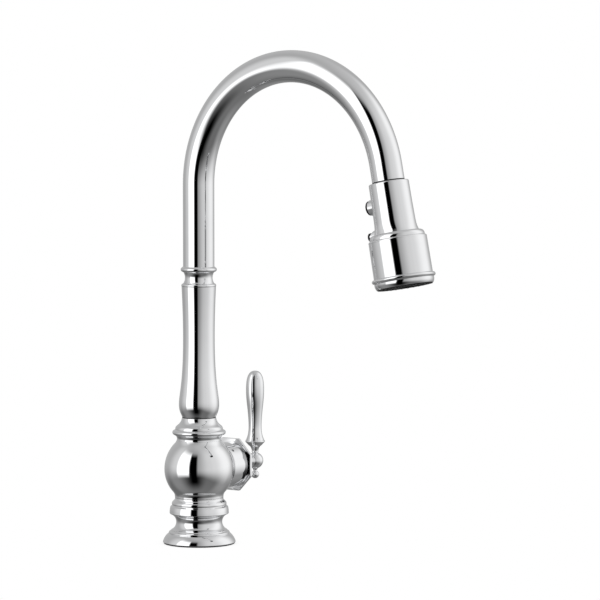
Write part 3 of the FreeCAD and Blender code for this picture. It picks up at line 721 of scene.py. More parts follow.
@dataclass
class Foot:
    """Gasket, flange and pedestal, and what holds them from under the deck."""

    wardrobe: Wardrobe
    gasket: Outline = tube_outline(17.0, 32.4, 0, 1.0)
    flange: Outline = outline(
        (17.0, 1.0), (32.9, 1.0), (33.2, 1.6), (31.7, 5.2, 28.6, 8.9),
        (27.6, 9.2), (27.75, 10.3, 26.9, 11.2), (26.3, 11.5), (25.6, 12.4), (17.0, 12.4))
    pedestal: Outline = outline(
        (17.0, 12.4), (25.6, 12.4), (21.0, 19.2, 24.6, 26.2), (26.1, 27.1),
        (26.75, 27.4, 26.95, 28.5), (26.79, 31.1, 26.3, 33.7), (24.9, 34.9), (24.75, 35.4),
        (24.9, 37.0, 24.1, 38.5), (22.9, 39.6), (22.25, 40.6, 22.15, 42.3), (17.0, 42.3))
    shank_r: float = 16.5
    shank_seat_r: float = 16.2
    shank_bore_r: float = 14.6
    shank_top: float = 49.9
    shank_plain: float = -29.8
    shank_low: float = -60.0
    thread_pitch: float = 1.5
    thread_depth: float = 0.75
    deck: float = 30.0
    washer_r: float = 29.0
    hole_r: float = 16.8
    nut_r: float = 27.5
    nut_top: float = -35.1
    nut_height: float = 12.0
    screw_circle_r: float = 20.4

    def build(self) -> None:
        """Make the pieces from the deck's underside up to the pedestal."""
        self.wardrobe.seat(turned("foot_gasket", self.gasket), "deck_base", Slot.RUBBER, "deck_gasket")
        self.wardrobe.seat(turned("foot_flange", self.flange), "deck_base", Slot.CHROME, "base_flange")
        self.wardrobe.seat(turned("foot_pedestal", self.pedestal), "deck_base", Slot.CHROME, "pedestal")
        self.wardrobe.seat(self.shank(), "deck_base", Slot.BRASS, "mounting_shank")
        rubber = tube_outline(self.hole_r, self.washer_r, -self.deck - 2.5, -self.deck, 0.4)
        steel = tube_outline(self.hole_r, self.washer_r, -self.deck - 4.1, -self.deck - 2.5, 0.3)
        self.wardrobe.seat(turned("clamp_rubber_washer", rubber), "deck_nut", Slot.RUBBER,
                           "rubber_washer")
        self.wardrobe.seat(turned("clamp_steel_washer", steel), "deck_nut", Slot.STEEL, "steel_washer")
        self.wardrobe.seat(self.nut(), "deck_nut", Slot.BRASS, "mounting_nut")
        self.wardrobe.seat(self.screws(), "deck_nut", Slot.STEEL, "jack_screws")

    def shank(self) -> bpy.types.Object:
        """Tube, plain through the deck, with a real helical thread below it."""
        bm = bmesh.new()
        root = self.shank_r - self.thread_depth
        spin_form(bm, outline(
            (self.shank_bore_r, self.shank_low), (root, self.shank_low), (root, self.shank_plain - 0.7),
            (self.shank_r, self.shank_plain), (self.shank_r, 0.0), (self.shank_seat_r, 0.0),
            (self.shank_seat_r, self.shank_top), (self.shank_bore_r, self.shank_top)))
        ridge = bmesh.new()
        half = self.thread_pitch * 0.42
        base = root - 0.15
        start = self.shank_low + half
        turns = int((self.shank_plain - start) / self.thread_pitch)
        crest = self.shank_r - 0.05
        corners = [(base, start - half), (crest, start - 0.12), (crest, start + 0.12),
                   (base, start + half)]
        face = ridge.faces.new([ridge.verts.new((r, 0, z)) for r, z in corners])
        steps = COARSE * turns
        bmesh.ops.spin(ridge, geom=[face], cent=(0, 0, 0), axis=(0, 0, 1),
                       dvec=(0, 0, self.thread_pitch / COARSE), angle=math.tau * turns, steps=steps,
                       use_merge=False, use_duplicate=False)
        bmesh.ops.recalc_face_normals(ridge, faces=ridge.faces)
        join_form(bm, ridge)
        return finish_piece("mounting_shank_threaded", bm)

    def nut(self) -> bpy.types.Object:
        """Hexagonal nut with a bore, chamfered below."""
        bm = bmesh.new()
        outer = bmesh.ops.create_circle(bm, cap_ends=False, radius=self.nut_r, segments=6)["verts"]
        rim = list({edge for vert in outer for edge in vert.link_edges})
        bmesh.ops.subdivide_edges(bm, edges=rim, cuts=7)
        inner = bmesh.ops.create_circle(bm, cap_ends=False, radius=self.hole_r, segments=COARSE)["verts"]
        faces = bmesh.ops.bridge_loops(bm, edges=bm.edges[:])["faces"]
        push(bm, faces, (0, 0, self.nut_height))
        bmesh.ops.recalc_face_normals(bm, faces=bm.faces)
        bevel_sharp(bm, 40, 0.8, 3)
        bmesh.ops.translate(bm, vec=(0, 0, self.nut_top - self.nut_height), verts=bm.verts)
        return finish_piece("clamp_nut", bm)

    def screws(self) -> bpy.types.Object:
        """Three socket screws that push on the steel washer."""
        bm = bmesh.new()
        top = -self.deck - 4.1
        shape = outline((0, top), (1.9, top), (1.9, top - 17), (3.2, top - 17), (3.2, top - 20),
                        (1.6, top - 20),
                        (1.6, top - 18.2), (0, top - 18.2), fillet=0.3)
        for index in range(3):
            angle = math.radians(30 + 120 * index)
            spot = (self.screw_circle_r * math.cos(angle), self.screw_circle_r * math.sin(angle), 0)
            spin_form(bm, shape, Matrix.Translation(spot), 32)
        return finish_piece("clamp_jack_screws", bm)


# --- Valve -------------------------------------------------------------------

@dataclass
class Valve:
    """Round body with the drum, its seam ring and the octagonal plate."""

    wardrobe: Wardrobe
    bulb: Outline = outline(
        (0, 42.3), (22.15, 42.3), (22.2, 43.6), (22.5, 45.0, 23.9, 47.3),
        (29.6, 56.7, 31.65, 67.8), (29.15, 80.8, 21.6, 92.1), (20.35, 94.4), (0, 94.4))
    boss: Outline = tube_outline(0, 20.6, 10, 25.0)
    seam: Outline = outline((18.7, 25.0), (20.7, 25.0), (21.6, 25.8, 20.7, 26.6), (18.7, 26.6))
    drum: Outline = tube_outline(18.7, 21.0, 26.6, 44.0)
    hole_r: float = 1.5
    drum_r: float = 21.0
    plate_r: float = 26.0
    plate_slope: float = math.radians(8)
    plate_low: float = 44.0
    plate_high: float = 47.2
    seat_r: float = 17.35

    def build(self) -> None:
        """Make the pieces from the body out to the plate."""
        bm = bmesh.new()
        spin_form(bm, self.bulb)
        spin_form(bm, self.boss, on_valve())
        self.wardrobe.seat(finish_piece("body_bulb", bm), "deck_base", Slot.CHROME, "valve_body")
        self.wardrobe.seat(turned("seam_band", self.seam, on_valve()), "deck_base", Slot.CHROME,
                           "seam_ring")
        drum = turned("drum_sleeve", self.drum, on_valve())
        carve(drum, tube_outline(0, self.hole_r, 16, 24), self.screw_axis())
        self.wardrobe.seat(drum, "deck_base", Slot.CHROME, "valve_drum")
        screw = outline((0, 18.7), (1.45, 18.7), (1.45, 20.2), (0.8, 20.2), (0.8, 19.3), (0, 19.3),
                        fillet=0.1)
        self.wardrobe.seat(turned("drum_lock_screw", screw, self.screw_axis(), 24), "deck_base",
                           Slot.STEEL, "drum_screw")
        self.wardrobe.seat(self.plate(), "deck_base", Slot.CHROME, "bonnet_plate")

    def screw_axis(self) -> Matrix:
        """Place a form made about Z on the drum's locking screw."""
        turn = Matrix.Rotation(math.radians(225), 4, "Z") @ Matrix.Rotation(math.radians(90), 4, "Y")
        return on_valve() @ Matrix.Translation((0, 0, 30.5)) @ turn

    def plate(self) -> bpy.types.Object:
        """Octagon with a slightly coned back, bevelled edges and a round seat for the dome."""
        low, high = self.plate_low, self.plate_high
        seats = [math.sqrt(self.seat_r ** 2 - (height - PIVOT_X) ** 2) for height in (low, high)]
        bm = bmesh.new()
        loops = [self.loop(bm, radius, height, octagonal) for radius, height, octagonal in (
            (seats[0], low, False), (self.drum_r, low, False), (self.plate_r, low, True),
            (self.plate_r, high, True), (seats[1], high, False))]
        for vert in {vert for edge in loops[2] for vert in edge.verts}:
            vert.co.z += (vert.co.xy.length - self.drum_r) * math.tan(self.plate_slope)
        for one, other in zip(loops, loops[1:] + loops[:1]):
            bmesh.ops.bridge_loops(bm, edges=one + other)
        bmesh.ops.recalc_face_normals(bm, faces=bm.faces)
        bevel_sharp(bm, 30, 0.45, 4)
        bmesh.ops.transform(bm, matrix=on_valve(), verts=bm.verts)
        return finish_piece("octagon_plate", bm)

    def loop(self, bm: bmesh.types.BMesh, radius: float, height: float,
             octagonal: bool) -> list[bmesh.types.BMEdge]:
        """Add a closed loop of edges about Z.

        Args:
            bm: The bmesh that takes the loop.
            radius: Radius of the circle, or of the octagon's corners.
            height: Height of the loop.
            octagonal: Whether the loop is an octagon.

        Returns:
            The loop's edges.
        """
        spots = bmesh.ops.create_circle(bm, cap_ends=False, radius=radius, segments=96,
                                        matrix=Matrix.Translation((0, 0, height)))["verts"]
        half = math.radians(22.5)
        for vert in spots if octagonal else ():
            off = (math.atan2(vert.co.y, vert.co.x) + half) % (2 * half) - half
            vert.co.xy = vert.co.xy * math.cos(half) / math.cos(off)
        return list({edge for vert in spots for edge in vert.link_edges})


# --- Lever -------------------------------------------------------------------

@dataclass
class Lever:
    """Dome on the pivot, its arm, and the ball, finial and grip at its end."""

    wardrobe: Wardrobe
    dome_r: float = 17.0
    dome_bore_r: float = 14.7
    arm_x: float = 81.5
    ball_r: float = 7.6
    ball_flat: float = 7.2
    screw_x: float = 55.0

    def on_arm(self) -> Matrix:
        """Place a form made about Z on the grip's axis."""
        return Matrix.Translation((self.arm_x, 0, VALVE_Z))

    def build(self) -> None:
        """Make the pieces from the dome out to the grip."""
        seat = self.wardrobe.seat
        dome = self.dome()
        seat(dome, "lever", Slot.CHROME, "hub_dome")
        screw = outline((0, 3.6), (2.0, 3.6), (2.0, 11.0), (1.1, 11.0), (1.1, 8.6), (0, 8.6), fillet=0.15)
        seat(turned("dome_set_screw", screw, self.screw_axis(), 24), "lever", Slot.STEEL,
             "handle_set_screw")
        tip = PIVOT_X + self.dome_r
        arm = outline(
            (0, tip - 0.9), (6.0, tip - 0.6), (6.9, tip + 0.7, 6.0, tip + 2.0), (4.6, tip + 2.4),
            (3.5, 66.5, 5.2, self.arm_x - self.ball_r + 1.6), (0, self.arm_x - self.ball_r + 1.6))
        seat(turned("dome_arm", arm, on_valve(), 96), "lever", Slot.CHROME, "hub_neck")
        radius, flat = self.ball_r, self.ball_flat
        cap = math.sqrt(radius ** 2 - flat ** 2)
        ball = outline((0, -flat), (cap, -flat), (radius, 0, cap, flat), (0, flat))
        seat(turned("arm_ball", ball, self.on_arm(), 96), "lever", Slot.CHROME, "lever_ball")
        finial = outline((0, -16.7), (3.7, -13.2, 2.1, -10.0), (1.9, -8.7, 2.7, -flat), (0, -flat))
        seat(turned("grip_finial", finial, self.on_arm(), 64), "lever", Slot.CHROME, "lever_finial")
        grip = outline(
            (0, flat), (2.6, flat), (3.3, 8.3), (3.0, 9.1), (3.9, 11.9, 5.0, 13.5), (5.9, 14.1),
            (8.9, 17.3), (9.15, 18.2, 8.6, 19.0),
            [(7.0, 23.3), (6.1, 29.2), (6.1, 35.7), (7.1, 48.2), (8.2, 59.2), (8.4, 66.2),
             (7.9, 74.3), (6.4, 79.6), (3.2, 83.2), (0, 83.9)])
        seat(turned("grip_handle", grip, self.on_arm(), 112), "lever", Slot.CHROME, "lever_grip")

    def screw_axis(self) -> Matrix:
        """Place a form made about Z on the set screw under the dome."""
        return on_valve() @ Matrix.Translation((0, 0, self.screw_x)) @ Matrix.Rotation(math.radians(90),
                                                                                       4, "Y")

    def dome(self) -> bpy.types.Object:
        """Hollow half ball, turned back by half of the lever's tilt."""
        r, b = self.dome_r, self.dome_bore_r
        k = math.sqrt(0.5)
        shape = outline((r, 0), (r * k, r * k, 0, r), (0, b), (b * k, b * k, b, 0), fillet=0.5)
        turn = Matrix.Rotation(-LEVER_TILT / 2, 4, "Y")
        piece = turned("pivot_dome", shape, on_valve() @ Matrix.Translation((0, 0, PIVOT_X)) @ turn)
        carve(piece, tube_outline(0, 2.05, 8, 17), self.screw_axis(), steps=32)
        return piece


# --- Spout -------------------------------------------------------------------

@dataclass
class Spout:
    """Neck, column, collar, gooseneck and the hose inside them."""

    wardrobe: Wardrobe
    neck: Outline = outline(
        (11.6, 94.4), (20.35, 94.4), (20.15, 96.1, 21.2, 98.3), (22.6, 99.4),
        (24.35, 101.6, 22.9, 103.6), (21.7, 104.2), (21.6, 105.7, 20.8, 107.2),
        (19.7, 108.1), (17.3, 110.5, 15.75, 114.0), (15.55, 115.0), (11.6, 115.0))
    washer: Outline = tube_outline(11.6, 15.3, 115.0, 115.6, 0.1)
    column: Outline = outline(
        (13.0, 115.65), (15.4, 115.65), (15.6, 116.4),
        [(17.5, 120.9), (18.3, 126.5), (17.2, 138.5), (15.3, 157.0), (14.4, 185.0),
         (14.75, 212.0), (15.65, 234.6)],
        (15.5, 236.6, 14.4, 237.3), (13.0, 237.3))
    collar: Outline = outline(
        (10.2, 224.0), (12.95, 224.0), (12.95, 237.3), (14.2, 237.3),
        (12.55, 242.3, 13.9, 247.4), (15.7, 248.4), (16.45, 250.1, 15.3, 251.9),
        (14.5, 252.6), (13.0, 252.6), (13.0, 268.0), (10.2, 268.0))
    tube_low: float = 252.6
    tube_r: float = 14.25
    tube_bore_r: float = 13.05
    socket: Outline = outline(
        (10.9, -11.2), (13.05, -11.2), (13.05, -1.0), (14.25, -1.0), (14.15, -0.1),
        (11.4, -0.1), (10.9, -1.0), fillet=0.15)
    hose_r: float = 4.9
    hose_bore_r: float = 3.2
    hose_low: float = -58.0
    hose_rest_w: float = -15.0
    hose_end_w: float = -14.05
    pull: float = 200.0

    def build(self) -> None:
        """Make the pieces from the neck up to the dock."""
        seat = self.wardrobe.seat
        seat(turned("neck_moulding", self.neck), "deck_base", Slot.CHROME, "swivel_neck")
        seat(turned("neck_washer", self.washer, steps=96), "deck_base", Slot.BLACK_PLASTIC,
             "thrust_washer")
        seat(turned("column_baluster", self.column), "spout", Slot.CHROME, "column")
        seat(turned("collar_bead", self.collar), "spout", Slot.CHROME, "column_collar")
        tube = self.run("gooseneck", self.tube_r, self.tube_bore_r, self.tube_low, -1.0, 112, 150)
        seat(tube, "spout", Slot.CHROME, "spout_tube")
        seat(turned("dock_guide", self.socket, on_wand()), "spout", Slot.BLACK_PLASTIC, "dock_socket")
        hose = self.run("hose_sleeve", self.hose_r, self.hose_bore_r, self.hose_low, self.hose_rest_w,
                        24, 60)
        self.map_hose(hose, self.run_length)
        seat(hose, "spout", Slot.HOSE, "spray_hose")
        self.reserve()

    def run(self, name: str, outer: float, inner: float, low: float, end_w: float, around: int,
            along: int) -> bpy.types.Object:
        """Tube up the column, over the arch and down the wand's axis.

        Args:
            name: Name of the piece.
            outer: Outer radius.
            inner: Bore radius.
            low: Height of its foot.
            end_w: Where it ends on the wand's axis.
            around: Segments around the tube.
            along: Steps of the arch.

        Returns:
            The new object.
        """
        bm = bmesh.new()
        top = push(bm, annulus(bm, outer, inner, low, around), (0, 0, ARCH_Z - low))
        bent = bmesh.ops.spin(bm, geom=top, cent=(0, -ARCH_R, ARCH_Z), axis=(1, 0, 0), dvec=(0, 0, 0),
                              angle=ARCH_SWEEP, steps=along, use_merge=False, use_duplicate=False)["geom_last"]
        last = [face for face in bent if isinstance(face, bmesh.types.BMFace)]
        push(bm, last, on_wand().to_3x3() @ Vector((0, 0, TIP_RUN + end_w)))
        inside = [face for face in last if face.is_valid and len(face.edges[0].link_faces) > 2]
        bmesh.ops.delete(bm, geom=inside, context="FACES")
        bmesh.ops.recalc_face_normals(bm, faces=bm.faces)
        return finish_piece(name, bm)

    def run_length(self, spot: Vector) -> tuple[float, float]:
        """Angle around the hose and length along it, for a point in millimetres.

        Args:
            spot: A point on the hose.

        Returns:
            The angle in turns and the length in millimetres.
        """
        if spot.z <= ARCH_Z and spot.y > -ARCH_R:
            return math.atan2(spot.x, spot.y) / math.tau, spot.z
        centre = Vector((0, -ARCH_R, ARCH_Z))
        swept = math.atan2(spot.z - centre.z, spot.y - centre.y) % math.tau
        if swept <= ARCH_SWEEP:
            out = math.hypot(spot.z - centre.z, spot.y - centre.y) - ARCH_R
            return math.atan2(spot.x, out) / math.tau, ARCH_Z + ARCH_R * swept
        local = on_wand().inverted() @ spot
        return math.atan2(local.x, local.y) / math.tau, ARCH_Z + ARCH_R * ARCH_SWEEP + TIP_RUN + local.z

    def map_hose(self, piece: bpy.types.Object, where: Callable[[Vector], tuple[float, float]]) -> None:
        """Give a hose piece a map of one turn to one unit, both ways.

        Args:
            piece: The hose piece.
            where: Gives the turn and the length in millimetres at a point in millimetres.
        """
        layer = piece.data.uv_layers.new(name="UVMap")
        girth = math.tau * self.hose_r
        for face in piece.data.polygons:
            spots = [where(piece.data.vertices[piece.data.loops[i].vertex_index].co / MM) for i in face.loop_indices]
            first = spots[0][0]
            for index, (turn, length) in zip(face.loop_indices, spots):
                turn -= round(turn - first)
                layer.data[index].uv = (turn, length / girth)

    def reserve(self) -> None:
        """Short stretch of hose at the wand's end, whose weave map packs the pulled-out length into it."""
        rings = 24
        bm = bmesh.new()
        depth = self.hose_end_w - self.hose_rest_w
        faces = annulus(bm, self.hose_r, self.hose_bore_r, self.hose_rest_w, 32)
        for _ in range(rings):
            faces = push(bm, faces, (0, 0, depth / rings))
        bmesh.ops.recalc_face_normals(bm, faces=bm.faces)
        bmesh.ops.transform(bm, matrix=on_wand(), verts=bm.verts)
        piece = finish_piece("hose_reserve", bm, even=False)
        back = on_wand().inverted()
        length_here = ARCH_Z + ARCH_R * ARCH_SWEEP

        def where(spot: Vector) -> tuple[float, float]:
            """Turn and pulled-out length at a point of the reserve."""
            local = back @ spot
            t = min(1.0, max(0.0, (local.z - self.hose_rest_w) / depth))
            return math.atan2(local.x, local.y) / math.tau, length_here + (3 - 2 * t) * t * t * self.pull
        self.map_hose(piece, where)
        self.wardrobe.dress(piece, Slot.HOSE)
        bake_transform(piece)
        log.info("%s between spout and hose_end", piece.name)


# --- Wand --------------------------------------------------------------------

@dataclass
class Wand:
    """Spray wand with its buttons, spray face and hose fitting."""

    wardrobe: Wardrobe
    upper: Outline = outline(
        (10.45, 0.2), (16.3, 0.2), (17.3, 0.6, 17.6, 1.6),
        [(17.75, 18.0), (18.05, 33.0), (18.75, 41.0), (19.8, 44.6)],
        (15.7, 44.6), (15.7, 2.0), (10.45, 2.0), fillet=0.15)
    shoulder: Outline = outline(
        (15.7, 44.6), (20.0, 44.6), (22.3, 44.95, 23.5, 46.2), (24.0, 47.4, 24.1, 48.6), (24.1, 49.4),
        (15.7, 49.4),
        fillet=0.15)
    lower: Outline = outline(
        (21.5, 49.4), (24.4, 49.4), (25.3, 49.9, 25.55, 51.2), (25.8, 82.6), (23.6, 82.6), (23.6, 51.4),
        (21.5, 51.4),
        fillet=0.15)
    rim: Outline = outline(
        (23.6, 82.6), (26.1, 82.6), (27.9, 84.4, 26.5, 86.2), (26.1, 86.7), (25.95, 89.3, 24.9, 91.7),
        (23.6, 91.7))
    face: Outline = outline(
        (7.2, 87.5), (23.55, 87.5), (23.55, 91.7), (24.4, 91.7), (24.4, 92.1), (24.1, 92.4),
        (7.2, 92.4), fillet=0.1)
    upper_w: float = 19.0
    upper_r: float = 6.4
    upper_bezel_r: float = 7.0
    lower_w: float = 44.3
    lower_r: float = 3.9
    lower_bezel_w: float = 43.8
    lower_bezel_r: float = 5.4
    gap: float = 0.08
    spring_seat: float = 13.05
    nozzle_rings: tuple = ((11.0, 12), (15.5, 18), (20.0, 24))

    def build(self) -> None:
        """Make the pieces of the wand and of the hose's end."""
        seat = self.wardrobe.seat
        upper = turned("wand_sleeve", self.upper, on_wand())
        shoulder = turned("wand_shoulder", self.shoulder, on_wand())
        lower = turned("wand_skirt", self.lower, on_wand())
        carve(upper, tube_outline(0, self.upper_bezel_r - 0.1, 12, 30), on_button(self.upper_w))
        for shell in (upper, shoulder):
            carve(shell, tube_outline(0, self.lower_bezel_r - 0.1, 12, 30), on_button(self.lower_bezel_w))
        seat(upper, "wand", Slot.CHROME, "wand_upper_shell")
        seat(shoulder, "wand", Slot.CHROME, "shoulder_ring")
        seat(lower, "wand", Slot.CHROME, "wand_lower_shell")
        seat(turned("wand_rim", self.rim, on_wand()), "wand", Slot.CHROME, "rim_ring")
        seat(turned("spray_plate", self.face, on_wand()), "wand", Slot.BLACK_PLASTIC, "spray_face")
        seat(self.nozzles(), "wand", Slot.RUBBER, "spray_nozzles")
        seat(self.aerator(), "wand", Slot.STEEL, "aerator")
        self.buttons()
        self.fittings()

    def nozzles(self) -> bpy.types.Object:
        """Soft nozzles in three rings, each with its own hole."""
        bm = bmesh.new()
        top = 92.3
        shape = outline((0, top), (0.95, top), (0.75, top + 0.45), (0.3, top + 0.45),
                        (0.3, top + 0.15), (0, top + 0.15), fillet=0.08)
        for radius, count in self.nozzle_rings:
            for index in range(count):
                angle = math.tau * index / count
                spot = Matrix.Translation((radius * math.cos(angle), radius * math.sin(angle), 0))
                spin_form(bm, shape, on_wand() @ spot, 12)
        return finish_piece("spray_tips", bm)

    def aerator(self) -> bpy.types.Object:
        """Steel housing with a wire screen."""
        bm = bmesh.new()
        spin_form(bm, tube_outline(5.8, 7.15, 84.0, 91.2), on_wand(), 64)
        screen = bmesh.new()
        bmesh.ops.create_grid(screen, x_segments=16, y_segments=16, size=6.4)
        outside = [vert for vert in screen.verts if vert.co.length > 6.3]
        bmesh.ops.delete(screen, geom=outside, context="VERTS")
        bmesh.ops.wireframe(screen, faces=screen.faces[:], thickness=0.16, use_replace=True,
                            use_boundary=True,
                            use_even_offset=True)
        bmesh.ops.transform(screen, matrix=on_wand() @ Matrix.Translation((0, 0, 89.2)),
                            verts=screen.verts)
        join_form(bm, screen)
        return finish_piece("aerator_screen", bm)

    def buttons(self) -> None:
        """Two push buttons in their bezels, on coil springs."""
        seat = self.wardrobe.seat
        bezel = outline((self.upper_r + self.gap, 15.9), (self.upper_bezel_r, 15.9),
                        (self.upper_bezel_r, 22.2),
                        (self.upper_r + self.gap, 22.2), fillet=0.18)
        seat(turned("upper_bezel_ring", bezel, on_button(self.upper_w), 96), "wand", Slot.CHROME,
             "upper_bezel")
        fairing = turned("lower_bezel_fairing", outline(
            (15.0, 37.4), (18.3, 37.4), (21.3, 38.9, 25.9, 43.6), (25.9, 52.0), (15.0, 52.0)), on_wand())
        carve(fairing, tube_outline(0, self.lower_bezel_r, 15.7, 30), on_button(self.lower_bezel_w),
              "INTERSECT", 96)
        carve(fairing, tube_outline(0, self.lower_r + self.gap, 12, 32), on_button(self.lower_w),
              steps=64)
        seat(fairing, "wand", Slot.CHROME, "lower_bezel")
        upper = outline((0, 14.9), (1.6, 14.9), (1.6, 17.2), (self.upper_r, 17.2),
                        (self.upper_r, 24.4), (3.2, 24.92, 0, 25.1))
        lower = outline((0, 14.9), (1.6, 14.9), (1.6, 18.2), (self.lower_r, 18.2),
                        (self.lower_r, 28.7), (1.95, 29.15, 0, 29.3))
        seat(turned("upper_push_cap", upper, on_button(self.upper_w), 96), "upper_push",
             Slot.BLACK_PLASTIC, "upper_button")
        seat(turned("lower_push_cap", lower, on_button(self.lower_w), 96), "lower_push",
             Slot.BLACK_PLASTIC, "lower_button")
        self.spring("upper_spring_coil", self.upper_w, 17.2, "upper_button_spring")
        self.spring("lower_spring_coil", self.lower_w, 18.2, "lower_button_spring")

    def spring(self, name: str, height: float, top: float, node: str) -> None:
        """Coil spring around a button's plunger.

        Args:
            name: Name of the piece.
            height: The button's distance down the wand.
            top: Where the spring ends, from the wand's axis.
            node: Node that it replaces.
        """
        wire = 0.22
        low = self.spring_seat + wire
        turns = 3
        bm = bmesh.new()
        tilt = Matrix.Translation((2.3, 0, low)) @ Matrix.Rotation(math.radians(90), 4, "X")
        disc = bmesh.ops.create_circle(bm, cap_ends=True, radius=wire, segments=10, matrix=tilt)["verts"]
        face = disc[0].link_faces[0]
        bmesh.ops.spin(bm, geom=[face], cent=(0, 0, 0), axis=(0, 0, 1),
                       dvec=(0, 0, (top - wire - low) / (turns * 40)),
                       angle=math.tau * turns, steps=turns * 40, use_merge=False, use_duplicate=False)
        bmesh.ops.recalc_face_normals(bm, faces=bm.faces)
        bmesh.ops.transform(bm, matrix=on_button(height), verts=bm.verts)
        piece = finish_piece(name, bm, even=False)
        self.wardrobe.seat(piece, "wand", Slot.STEEL, node)
        inward = on_button(height).to_3x3() @ Vector((0, 0, -1))
        anchor = on_button(height) @ Vector((0, 0, self.spring_seat)) * MM
        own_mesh(piece)

    def fittings(self) -> None:
        """Ferrule, coupling nut and magnet ring, seen when the wand is pulled out."""
        seat = self.wardrobe.seat
        ferrule = outline((3.2, -14.0), (5.6, -14.0), (6.2, -13.2), (6.2, -10.4), (5.75, -9.6, 6.2, -8.8),
                          (6.2, -6.2), (5.75, -5.4, 6.2, -4.6), (6.2, -1.0), (3.2, -1.0), fillet=0.15)
        seat(turned("ferrule_crimped", ferrule, on_wand(), 64), "hose_end", Slot.STEEL, "hose_ferrule")
        nut = outline((6.3, -9.0), (10.4, -9.0), (10.4, -1.6), (9.7, -0.9), (9.7, 0.4), (10.4, 1.1),
                      (10.4, 1.5), (6.3, 1.5),
                      fillet=0.2)
        seat(turned("coupling_ring", nut, on_wand(), 96), "wand", Slot.BRASS, "coupling_nut")
        ring = tube_outline(6.5, 10.4, -13.5, -9.0, 0.4)
        seat(turned("magnet_catch_ring", ring, on_wand(), 96), "wand", Slot.STEEL, "wand_magnet_ring")


# --- Studio ------------------------------------------------------------------

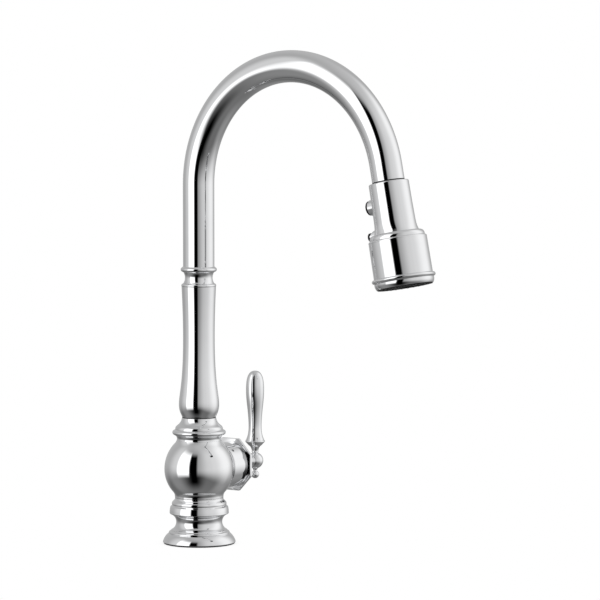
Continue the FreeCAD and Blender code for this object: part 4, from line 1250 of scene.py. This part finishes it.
@dataclass
class Studio:
    """White floor, soft surround light and the camera.

    Walls and table are greys by direction in degrees, and skirting is how far the
    walls fade below the horizon, in hundreds of degrees.
    """

    distance: float = 2.9739
    height: float = 0.42009
    aside: float = 0.09194
    heading: float = math.radians(37.965)
    pitch: float = math.radians(3.807)
    lens: float = 196.83
    floor_half: float = 6.0
    walls: tuple[Pair, ...] = (
        (-180, 0.5), (-125, 0.45), (-85, 0.7), (-30, 0.3), (-15, 0.3), (40, 0.7), (55, 0.75),
        (100, 1.0), (110, 1.0), (155, 0.45), (180, 0.5))
    table: tuple[Pair, ...] = (
        (-180, 0.25), (-150, 0.15), (-130, 0.15), (-100, 0.25), (-85, 0.25), (-20, 0.0), (-10, 0.0),
        (35, 0.15), (60, 0.15), (100, 0.3), (115, 0.3), (160, 0.2), (180, 0.25))
    skirting: tuple[Pair, ...] = ((-180, 0.3), (-70, 0.25), (0, 0.25), (70, 0.4), (105, 0.4),
                                  (125, 0.3), (180, 0.3))

    def build(self) -> None:
        """Make the floor, the light and the camera."""
        self.camera()
        self.surround()
        self.floor()

    def right(self) -> Vector:
        """The camera's right-hand direction."""
        return Vector((math.sin(self.heading), -math.cos(self.heading), 0))

    def forward(self) -> Vector:
        """The camera's level forward direction."""
        return Vector((math.cos(self.heading), math.sin(self.heading), 0))

    def camera(self) -> None:
        """Camera at a long focal length, a little above the spray face."""
        data = bpy.data.cameras.new("camera")
        data.lens = self.lens
        data.sensor_width = 36.0
        data.clip_start = 0.05
        data.clip_end = 60.0
        camera = bpy.data.objects.new("camera", data)
        camera.location = self.right() * self.aside - self.forward() * self.distance + Vector((0, 0,
                                                                                               self.height))
        camera.rotation_euler = (math.radians(90) - self.pitch, 0, self.heading - math.radians(90))
        bpy.context.scene.collection.objects.link(camera)
        bpy.context.scene.camera = camera
        bpy.context.scene.view_settings.view_transform = "Standard"

    def floor(self) -> None:
        """White floor that is clear from below, with a soft contact shadow."""
        bm = bmesh.new()
        bmesh.ops.create_grid(bm, x_segments=1, y_segments=1, size=self.floor_half)
        bmesh.ops.translate(bm, vec=(0, 0, -0.0002), verts=bm.verts)
        mesh = bpy.data.meshes.new("floor")
        bm.to_mesh(mesh)
        bm.free()
        floor = bpy.data.objects.new("floor", mesh)
        bpy.context.scene.collection.objects.link(floor)
        floor.visible_glossy = False
        floor.visible_diffuse = False
        material = bpy.data.materials.new("floor_white")
        w = fresh(material)
        shade = w.add("AmbientOcclusion", {"Distance": 0.012}, samples=8)
        tone = w.span(shade.outputs["AO"], 0.2, 0.9, 0.85, 1.0)
        glow = w.add("Emission", {"Color": tone})
        clear = w.add("BsdfTransparent")
        side = w.add("NewGeometry")
        mixed = w.add("MixShader", {0: side.outputs["Backfacing"], 1: glow.outputs[0],
                                    2: clear.outputs[0]})
        w.add("OutputMaterial", {"Surface": mixed.outputs[0]})
        mesh.materials.append(material)

    def ring(self, w: Wiring, turn: Socket, stops: Iterable[Pair]) -> Socket:
        """Grey around the horizon, from stops in degrees.

        Args:
            w: Wiring of the world.
            turn: Direction from -180 to 180 degrees, with 0 towards the camera.
            stops: Pairs of direction and grey.

        Returns:
            The grey.
        """
        return w.ramp(w.span(turn, -180, 180), [(0.5 + degrees / 360, grey) for degrees, grey in stops])

    def band(self, w: Wiring, value: Socket, start: float, full: float, fade: float,
             end: float) -> Socket:
        """Mask that rises from start to full and falls from fade to end."""
        return w.math("MULTIPLY", w.span(value, start, full, smooth=True),
                      w.span(value, fade, end, 1, 0, smooth=True))

    def blend(self, w: Wiring, mask: Socket, without: Socket, inside: Socket | float) -> Socket:
        """Mix two brightnesses by a mask."""
        return w.add("Mix", {0: mask, 2: without, 3: inside}).outputs[0]

    def surround(self) -> None:
        """Surround of a product studio: softbox, black flag, grey walls and a dark table."""
        world = bpy.data.worlds.new("surround")
        bpy.context.scene.world = world
        w = fresh(world)
        view = w.add("TexCoord").outputs["Generated"]
        right = w.add("VectorMath", {0: view, 1: self.right()}, operation="DOT_PRODUCT").outputs["Value"]
        near = w.add("VectorMath", {0: view, 1: -self.forward()},
                     operation="DOT_PRODUCT").outputs["Value"]
        height = w.add("SeparateXYZ", {0: view}).outputs[2]
        turn = w.math("MULTIPLY", w.math("ARCTAN2", right, near), 180 / math.pi)
        rise = w.math("MULTIPLY", w.math("ARCSINE", height), 180 / math.pi)
        softbox = self.band(w, turn, -82, -73, -35, -29)
        flag = self.band(w, turn, -34, -28, -9, -1)

        walls = self.ring(w, turn, self.walls)
        ceiling = w.span(right, -0.5, 0.8, 0.41, 0.66)
        upper = self.blend(w, w.span(rise, 38, 74, smooth=True), walls, ceiling)
        upper = self.blend(w, w.math("MULTIPLY", softbox, w.span(rise, 36, 58, 1, 0, smooth=True)),
                           upper, 1.35)
        upper = self.blend(w, w.math("MULTIPLY", flag, w.span(rise, 38, 55, 1, 0, smooth=True)), upper,
                           0.0)

        table = self.ring(w, turn, self.table)
        table = self.blend(w, w.span(rise, -36, -82, smooth=True), table, 0.17)
        high = w.span(softbox, 0, 1, 4, -7)
        low = w.math("MULTIPLY", self.ring(w, turn, self.skirting), -100)
        strength = self.blend(w, w.span(rise, low, high, smooth=True), table, upper)
        seen = w.add("LightPath").outputs["Is Camera Ray"]
        light = w.add("Background", {"Color": (1, 1, 1, 1), "Strength": strength})
        plain = w.add("Background", {"Color": (1, 1, 1, 1), "Strength": 1.0})
        mixed = w.add("MixShader", {0: seen, 1: light.outputs[0], 2: plain.outputs[0]})
        w.add("OutputWorld", {"Surface": mixed.outputs[0]})


def main() -> None:
    """Build the studio, the finishes and each sub-assembly."""
    Studio().build()
    wardrobe = Wardrobe()
    wardrobe.stock()
    for assembly in (Foot, Valve, Lever, Spout, Wand):
        assembly(wardrobe).build()
        log.info("%s is built", assembly.__name__)
    wardrobe.dress_frame()


if __name__ == "__main__":
    main()
